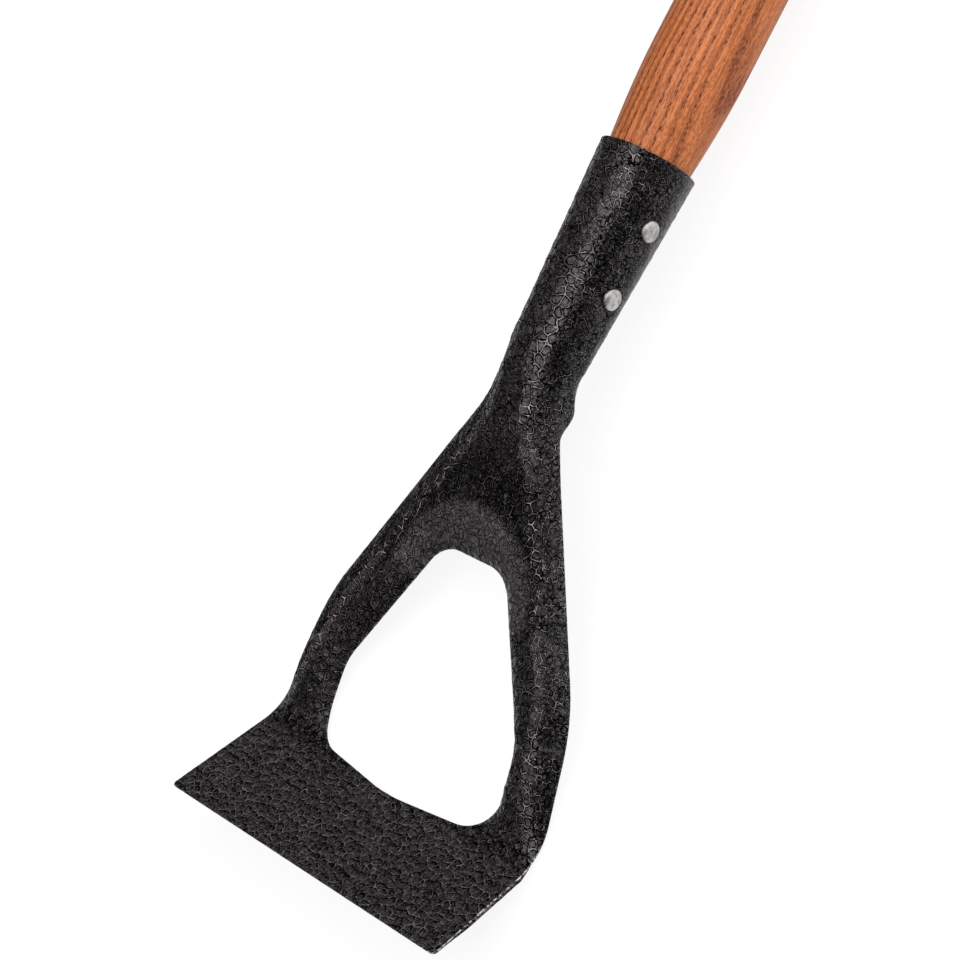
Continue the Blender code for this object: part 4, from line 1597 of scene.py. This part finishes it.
@dataclass
class HoeHead(Part):
    """The head: the front face of half of the sheet, mirrored, thickened, hammered and drilled."""

    sheet: PressedSheet
    coat: HammeredCoat
    edge_rounding: float = 0.00045
    outline_step: float = 0.00068
    across_steps: int = 34
    half_socket_sides: int = 60
    neck_step: float = 0.00075
    neck_row_samples: int = 200
    line_samples: int = 161
    last_steps: tuple[float, float, float] = (0.66, 0.33, 0.0)
    merge_distance: float = 0.00005
    sharp_angle: float = math.radians(60.0)

    def neck_columns(self) -> np.ndarray:
        """Where the neck's columns of points run, fine at the outer edge.

        Returns:
            Shares of the half width, from the outer edge to the middle.
        """
        girth = math.pi * self.sheet.socket_foot_radius
        steps = edge_steps(girth, self.half_socket_sides, self.edge_rounding, False)
        return 1.0 - steps / girth

    def ray_angles(self, columns: np.ndarray) -> np.ndarray:
        """Lines that run out over the sheet from the middle of the opening.

        Args:
            columns: shares of the half width at which the last lines end on the neck.

        Returns:
            The lines' angles, first those that end on the sheet's edge.
        """
        sheet = self.sheet
        edge = sheet.outline(self.outline_step)
        edge = edge[edge[:, 1] < sheet.neck_at - 0.5 * self.outline_step]
        full = float(sheet.fullness(through(sheet.crowns(), sheet.neck_at)))
        across = np.sin(math.asin(full) * columns) / full * sheet.outer_edge(sheet.neck_at)
        neck_row = np.stack([across, np.full(len(columns), sheet.neck_at)], axis=-1)
        return np.concatenate([sheet.polar(edge)[0], sheet.polar(neck_row)[0]])

    def lower_sheet(self, angles: np.ndarray, columns: np.ndarray) -> tuple[np.ndarray, ...]:
        """The blade, the arms and the web.

        Args:
            angles: the lines that run out from the middle of the opening.
            columns: shares of the half width at which the last lines end on the neck.

        Returns:
            A row of points along each line, their s, how far each has fallen at the rounded
            edges, its distance from the nearest edge, and that from the middle line.
        """
        sheet = self.sheet
        outline = sheet.outline(sheet.fine_step)
        edge = outline[outline[:, 1] < sheet.neck_at]
        neck_side = [float(sheet.outer_edge(sheet.neck_at)), sheet.neck_at]
        neck_row = np.linspace(neck_side, [0.0, sheet.neck_at], self.neck_row_samples)
        edge_angle, edge_reach = sheet.polar(np.concatenate([edge, neck_row]))
        opening_angle, opening_reach = sheet.polar(sheet.opening())
        start = np.interp(angles, opening_angle, opening_reach)[:, None]
        end = np.interp(angles, edge_angle, edge_reach)[:, None]
        distance = start + (end - start) * np.linspace(0.0, 1.0, self.line_samples)[None, :]
        s = sheet.ray_centre_at + distance * np.sin(angles)[:, None]
        x = np.maximum(distance * np.cos(angles)[:, None], 0.0)
        rise = sheet.crown_height(x, s)
        rows = {"x": [], "s": [], "rise": [], "rim": []}
        for index, line in enumerate(sheet.placed(x, s, rise)):
            gaps = np.linalg.norm(np.diff(line, axis=0), axis=1)
            length = np.concatenate([[0.0], np.cumsum(gaps)])
            steps = edge_steps(length[-1], self.across_steps, self.edge_rounding, True)
            if index < len(angles) - len(columns) + 1:
                rim = np.minimum(steps, length[-1] - steps)
            else:
                steps[-3:] = length[-1] - self.edge_rounding * np.array(self.last_steps)
                from_middle = columns[index - len(angles)] * math.pi * sheet.socket_foot_radius
                to_side = math.pi * sheet.socket_foot_radius - from_middle
                rim = np.minimum(steps, np.hypot(length[-1] - steps, to_side))
            for key, values in (("x", x), ("s", s), ("rise", rise)):
                rows[key].append(np.interp(steps, length, values[index]))
            rows["rim"].append(rim)
        x, s, rise, rim = (np.array(rows[key]) for key in ("x", "s", "rise", "rim"))
        drop = edge_drop(rim, self.edge_rounding)
        return sheet.placed(x, s, rise - drop), s, drop, rim, sheet.girth(x, s)

    def neck_and_socket(self, columns: np.ndarray) -> tuple[np.ndarray, ...]:
        """The neck and the socket.

        Each row is an arc of an ellipse from the sheet's outer edge, column 1, to its middle,
        column 0. Up the neck the arc goes on round, until it is the socket's circle.

        Args:
            columns: shares of the half width.

        Returns:
            A row of points at each s, their s, how far each has fallen at the rounded edges,
            its distance from the nearest edge, and that from the middle line.
        """
        sheet = self.sheet
        length = sheet.socket_mouth_at - sheet.neck_at
        count = math.ceil(length / self.neck_step)
        from_mouth = edge_steps(length, count, self.edge_rounding, False)
        rows = sheet.socket_mouth_at - from_mouth[::-1]
        full = float(sheet.fullness(through(sheet.crowns(), sheet.neck_at)))
        foot = math.sqrt(1.0 - full * full)
        start = sheet.socket_foot_at - sheet.roll_start_below_socket
        rolled = eased(start, sheet.socket_foot_at - sheet.roll_end_below_socket, rows)
        on_socket = rows > sheet.socket_foot_at
        half_width = np.where(on_socket, sheet.socket_radius(rows), sheet.outer_edge(rows))
        crown = np.where(on_socket, sheet.socket_radius(rows), through(sheet.crowns(), rows))
        across = half_width * ((1.0 - rolled) / full + rolled)
        up = crown * ((1.0 - rolled) / (1.0 - foot) + rolled)
        seam_angle = math.pi - 0.5 * sheet.seam_gap / sheet.socket_foot_radius
        end_angle = math.acos(foot) * (1.0 - rolled) + seam_angle * rolled
        angle = end_angle[:, None] * columns[None, :]
        girth = end_angle * half_width
        rim = np.minimum((1.0 - columns)[None, :] * girth[:, None], (sheet.socket_mouth_at - rows)[:, None])
        drop = edge_drop(rim, self.edge_rounding)
        shrink = 1.0 - drop / up[:, None] * rolled[:, None]
        rise = up[:, None] * (shrink * np.cos(angle) - (foot * (1.0 - rolled))[:, None])
        rise = rise - drop * (1.0 - rolled)[:, None]
        x = across[:, None] * shrink * np.sin(angle)
        s = np.repeat(rows[:, None], len(columns), 1)
        gaps = np.hypot(np.diff(x, axis=1), np.diff(rise, axis=1))
        from_middle = np.zeros(x.shape)
        from_middle[:, :-1] = np.cumsum(gaps[:, ::-1], axis=1)[:, ::-1]
        return sheet.placed(x, s, rise), s, drop, rim, from_middle

    def half_sheet(self) -> bpy.types.Object:
        """The front face of the half at +X, with its thickness and its distance from the edge.

        Returns:
            The half sheet.
        """
        columns = self.neck_columns()
        lower = self.lower_sheet(self.ray_angles(columns), columns)
        upper = self.neck_and_socket(columns)
        lower_index = np.arange(lower[1].size).reshape(lower[1].shape)
        new_rows = lower[1].size + np.arange(upper[1][1:].size).reshape(-1, len(columns))
        upper_index = np.concatenate([lower_index[-len(columns):, -1][None, :], new_rows])
        points = np.concatenate([lower[0].reshape(-1, 3), upper[0][1:].reshape(-1, 3)])
        s, drop, rim, across = (
            np.concatenate([low.ravel(), high[1:].ravel()]) for low, high in zip(lower[1:], upper[1:])
        )
        faces = []
        for grid in (lower_index, upper_index.T):
            corners = np.stack([grid[:-1, :-1], grid[:-1, 1:], grid[1:, 1:], grid[1:, :-1]], axis=-1)
            faces += corners.reshape(-1, 4).tolist()
        mesh = bpy.data.meshes.new("hammered_head")
        mesh.from_pydata(points.tolist(), [], faces)
        mesh.attributes.new("rim", "FLOAT", "POINT").data.foreach_set("value", rim)
        flat = np.stack([across, s, np.zeros(s.shape)], axis=-1)
        mesh.attributes.new("flat", "FLOAT_VECTOR", "POINT").data.foreach_set("vector", flat.ravel())
        head = in_scene("hammered_head", mesh)
        group = head.vertex_groups.new(name="Thickness")
        for index, share in enumerate((self.sheet.thickness(s) - 2.0 * drop) / self.sheet.blade_thickness):
            group.add([index], float(share), "REPLACE")
        return head

    def hammering(self) -> bpy.types.GeometryNodeTree:
        """Modifier nodes that sink the surface by the coat's relief.

        Returns:
            The nodes' group.
        """
        tree = bpy.data.node_groups.new("Hammering", "GeometryNodeTree")
        tree.interface.new_socket("Geometry", in_out="INPUT", socket_type="NodeSocketGeometry")
        tree.interface.new_socket("Geometry", in_out="OUTPUT", socket_type="NodeSocketGeometry")
        graph = Graph(tree)
        start = graph.add("NodeGroupInput")
        place = graph.add("GeometryNodeInputPosition")["Position"]
        normal = graph.add("GeometryNodeInputNormal")["Normal"]
        flat = graph.add("GeometryNodeInputNamedAttribute", {"data_type": "FLOAT_VECTOR"}, {"Name": "flat"})
        rim = graph.add("GeometryNodeInputNamedAttribute", {"data_type": "FLOAT"}, {"Name": "rim"})
        sunk = self.coat.sunk(graph, place, flat["Attribute"], rim["Attribute"])
        offset = graph.scaled(normal, 0.0 - sunk)
        moved = graph.add("GeometryNodeSetPosition", None, {"Geometry": start[0], "Offset": offset})
        graph.add("NodeGroupOutput", None, {0: moved["Geometry"]})
        return tree

    def build(self, resting: Resting, cutters: list[bpy.types.Object]) -> bpy.types.Object:
        """The whole head.

        Args:
            resting: how the hoe lies.
            cutters: rods that drill the rivets' holes.

        Returns:
            The head.
        """
        head = self.half_sheet()
        head.modifiers.new("Other half", "MIRROR").merge_threshold = self.merge_distance
        thick = head.modifiers.new("Sheet", "SOLIDIFY")
        thick.thickness = self.sheet.blade_thickness
        thick.offset = -1.0
        thick.vertex_group = "Thickness"
        finished_mesh(head, self.sharp_angle)
        head.data.transform(resting.matrix())
        head.modifiers.new("Hammering", "NODES").node_group = self.hammering()
        drill(head, cutters, Drilling.FINE_SHEET)
        finished_mesh(head, self.sharp_angle)
        return head


@dataclass
class Shaft(Part):
    """The ash shaft, turned about local Y, with a tenon that fills the socket.

    It is 0.07 mm thinner in radius than in the CAD source, so that it stays inside the flat
    facets of the CAD solid.
    """

    radius: float = 0.01453
    length: float = 1.330
    shoulder_length: float = 0.032
    end_rounding: float = 0.007
    tenon_chamfer: float = 0.002
    tenon_short_of_neck: float = 0.002
    clearance: float = 0.0003
    sides: int = 96
    shoulder_steps: int = 16
    end_steps: int = 12
    merge_distance: float = 0.00001
    sharp_angle: float = math.radians(35.0)

    def profile(self, sheet: PressedSheet) -> list[tuple[float, float]]:
        """The shaft's outline, from the tenon's end to the rounded top.

        Args:
            sheet: the sheet whose socket it fills.

        Returns:
            Pairs of a radius and a place along the shaft.
        """
        tenon = sheet.socket_length - self.tenon_short_of_neck
        slack = sheet.socket_wall + self.clearance

        def inside(along: float) -> float:
            """Radius of the tenon at a place along the shaft."""
            return float(sheet.socket_radius(sheet.socket_mouth_at + along)) - slack

        points = [
            (0.0, -tenon),
            (inside(-tenon) - self.tenon_chamfer, -tenon),
            (inside(self.tenon_chamfer - tenon), self.tenon_chamfer - tenon),
        ]
        mouth = inside(0.0)
        for share in np.linspace(0.0, 1.0, self.shoulder_steps + 1):
            radius = mouth + (self.radius - mouth) * math.sin(0.5 * math.pi * share)
            points.append((radius, self.shoulder_length * float(share)))
        for turn in np.linspace(0.0, 0.5 * math.pi, self.end_steps + 1):
            radius = self.radius - self.end_rounding * (1.0 - math.cos(turn))
            points.append((radius, self.length - self.end_rounding * (1.0 - math.sin(turn))))
        points.append((0.0, self.length))
        return points

    def build(
        self, sheet: PressedSheet, resting: Resting, cutters: list[bpy.types.Object]
    ) -> bpy.types.Object:
        """The shaft in its socket.

        Args:
            sheet: the sheet whose socket it fills.
            resting: how the hoe lies.
            cutters: rods that drill the rivets' holes.

        Returns:
            The shaft.
        """
        form = bmesh.new()
        verts = [form.verts.new((radius, along, 0.0)) for radius, along in self.profile(sheet)]
        edges = [form.edges.new(pair) for pair in zip(verts, verts[1:])]
        bmesh.ops.spin(
            form,
            geom=verts + edges,
            cent=(0.0, 0.0, 0.0),
            axis=(0.0, 1.0, 0.0),
            angle=2.0 * math.pi,
            steps=self.sides,
            use_merge=True,
        )
        bmesh.ops.remove_doubles(form, verts=form.verts, dist=self.merge_distance)
        bmesh.ops.recalc_face_normals(form, faces=form.faces)
        shaft = add_form("ash_shaft", form, resting.matrix() @ sheet.socket_frame(0.0))
        drill(shaft, cutters, Drilling.SOLID_WOOD)
        finished_mesh(shaft, self.sharp_angle)
        return shaft


@dataclass
class Viewpoint:
    """The camera, placed as seen from a hoe whose blade is flat, in metres."""

    place: tuple[float, float, float] = (0.61674, -0.24955, 0.53055)
    right: tuple[float, float, float] = (0.621502, 0.731534, -0.280344)
    up: tuple[float, float, float] = (-0.284093, 0.543945, 0.789566)
    back: tuple[float, float, float] = (0.730086, -0.411074, 0.545887)
    lens: float = 112.5
    sensor: float = 36.0
    furthest: float = 20.0

    def build(self, resting: Resting) -> None:
        """The scene's camera.

        Args:
            resting: how the hoe lies, which carries the camera with it.
        """
        data = bpy.data.cameras.new("Camera")
        data.lens = self.lens
        data.sensor_width = self.sensor
        data.sensor_fit = "HORIZONTAL"
        data.clip_end = self.furthest
        camera = in_scene("Camera", data)
        turn = Matrix((self.right, self.up, self.back)).transposed()
        camera.matrix_world = resting.matrix() @ Matrix.Translation(self.place) @ turn.to_4x4()
        bpy.context.scene.camera = camera


@dataclass(frozen=True)
class LampBank:
    """Soft square lamps side by side: their middle, what they look at, and how bright they are."""

    name: str
    place: tuple[float, float, float]
    target: tuple[float, float, float]
    counts: tuple[int, int]
    spacing: tuple[float, float]
    lamp_size: float
    radiance: float

    def build(self) -> None:
        """The bank's lamps."""
        turn = (Vector(self.place) - Vector(self.target)).to_track_quat("Z", "Y").to_matrix().to_4x4()
        for across in range(self.counts[0]):
            for up in range(self.counts[1]):
                data = bpy.data.lights.new(f"{self.name} {across + 1}.{up + 1}", "AREA")
                data.shape = "SQUARE"
                data.size = self.lamp_size
                data.energy = self.radiance * math.pi * self.lamp_size**2
                aside = (across - 0.5 * (self.counts[0] - 1)) * self.spacing[0]
                above = (up - 0.5 * (self.counts[1] - 1)) * self.spacing[1]
                shift = Matrix.Translation((aside, above, 0.0))
                in_scene(data.name, data).matrix_world = Matrix.Translation(self.place) @ turn @ shift


@dataclass
class Studio:
    """A pale floor, banks of lamps over and behind the hoe, and a dim room."""

    floor_size: float = 12.0
    floor_colour: tuple[float, float, float] = (0.80, 0.80, 0.80)
    shown_glow: float = 0.905
    shown_colour: tuple[float, float, float] = (0.17, 0.17, 0.17)
    room_colour: tuple[float, float, float] = (0.06, 0.06, 0.06)
    white: tuple[float, float, float] = (1.0, 1.0, 1.0)
    lamps: tuple[LampBank, ...] = (
        LampBank(
            name="Overhead lamp",
            place=(0.36, -0.55, 1.70),
            target=(0.10, -0.55, 0.0),
            counts=(3, 3),
            spacing=(0.62, 0.62),
            lamp_size=0.52,
            radiance=2.5,
        ),
        LampBank(
            name="Rear lamp",
            place=(1.35, 1.10, 1.30),
            target=(0.0, -0.65, 0.0),
            counts=(3, 2),
            spacing=(0.95, 0.95),
            lamp_size=0.75,
            radiance=3.3,
        ),
    )

    def floor(self) -> None:
        """The floor, white to the camera where no shadow falls on it."""
        form = bmesh.new()
        bmesh.ops.create_grid(form, x_segments=1, y_segments=1, size=0.5 * self.floor_size)
        floor = add_form("floor", form, Matrix())
        material, graph = new_material("Pale floor")
        path = graph.add("ShaderNodeLightPath")
        seen = (path["Is Camera Ray"] + path["Is Glossy Ray"] + path["Is Transmission Ray"]).limited()
        plain = graph.coloured("ShaderNodeBsdfDiffuse", self.floor_colour)
        shown = graph.coloured("ShaderNodeBsdfDiffuse", self.shown_colour)
        glow = graph.add("ShaderNodeEmission", None, {"Strength": self.shown_glow})
        both = graph.add("ShaderNodeAddShader", None, {0: shown, 1: glow[0]})
        graph.surface(graph.either(seen, plain, both[0]))
        floor.data.materials.append(material)

    def room(self) -> None:
        """The dim light from all round."""
        world = bpy.data.worlds.new("Room")
        world.use_nodes = True
        graph = Graph(world.node_tree)
        glow = graph.coloured("ShaderNodeBackground", self.room_colour)
        white = graph.coloured("ShaderNodeBackground", self.white)
        seen = graph.add("ShaderNodeLightPath")["Is Camera Ray"]
        graph.add("ShaderNodeOutputWorld", None, {"Surface": graph.either(seen, glow, white)})
        bpy.context.scene.world = world

    def build(self) -> None:
        """The floor, the lamps and the room."""
        self.floor()
        for lamp in self.lamps:
            lamp.build()
        self.room()
        bpy.context.scene.view_settings.view_transform = "Standard"


def main() -> None:
    """Build the hoe and the studio round it."""
    logging.basicConfig(level=logging.INFO, format="%(message)s")
    resting = Resting()
    sheet = PressedSheet()
    coat = HammeredCoat()
    Viewpoint().build(resting)
    Studio().build()
    black = coat.material()
    ash = OiledAsh().material()
    steel = RivetSteel().material()
    head = HoeHead("hoe_head", "black_hammered_coat", sheet, coat)
    shaft = Shaft("shaft", "oiled_ash")
    upper = Rivet("upper_rivet", "rivet_steel", from_mouth=0.0195)
    lower = Rivet("lower_rivet", "rivet_steel", from_mouth=0.0412)
    cutters = [rivet.cutter(sheet, resting) for rivet in (upper, lower)]
    head.dress(head.build(resting, cutters), black)
    shaft.dress(shaft.build(sheet, resting, cutters), ash)
    for rivet in (upper, lower):
        rivet.dress(rivet.build(sheet, resting), steel)
    for cutter in cutters:
        bpy.data.objects.remove(cutter)
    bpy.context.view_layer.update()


if __name__ == "__main__":
    main()
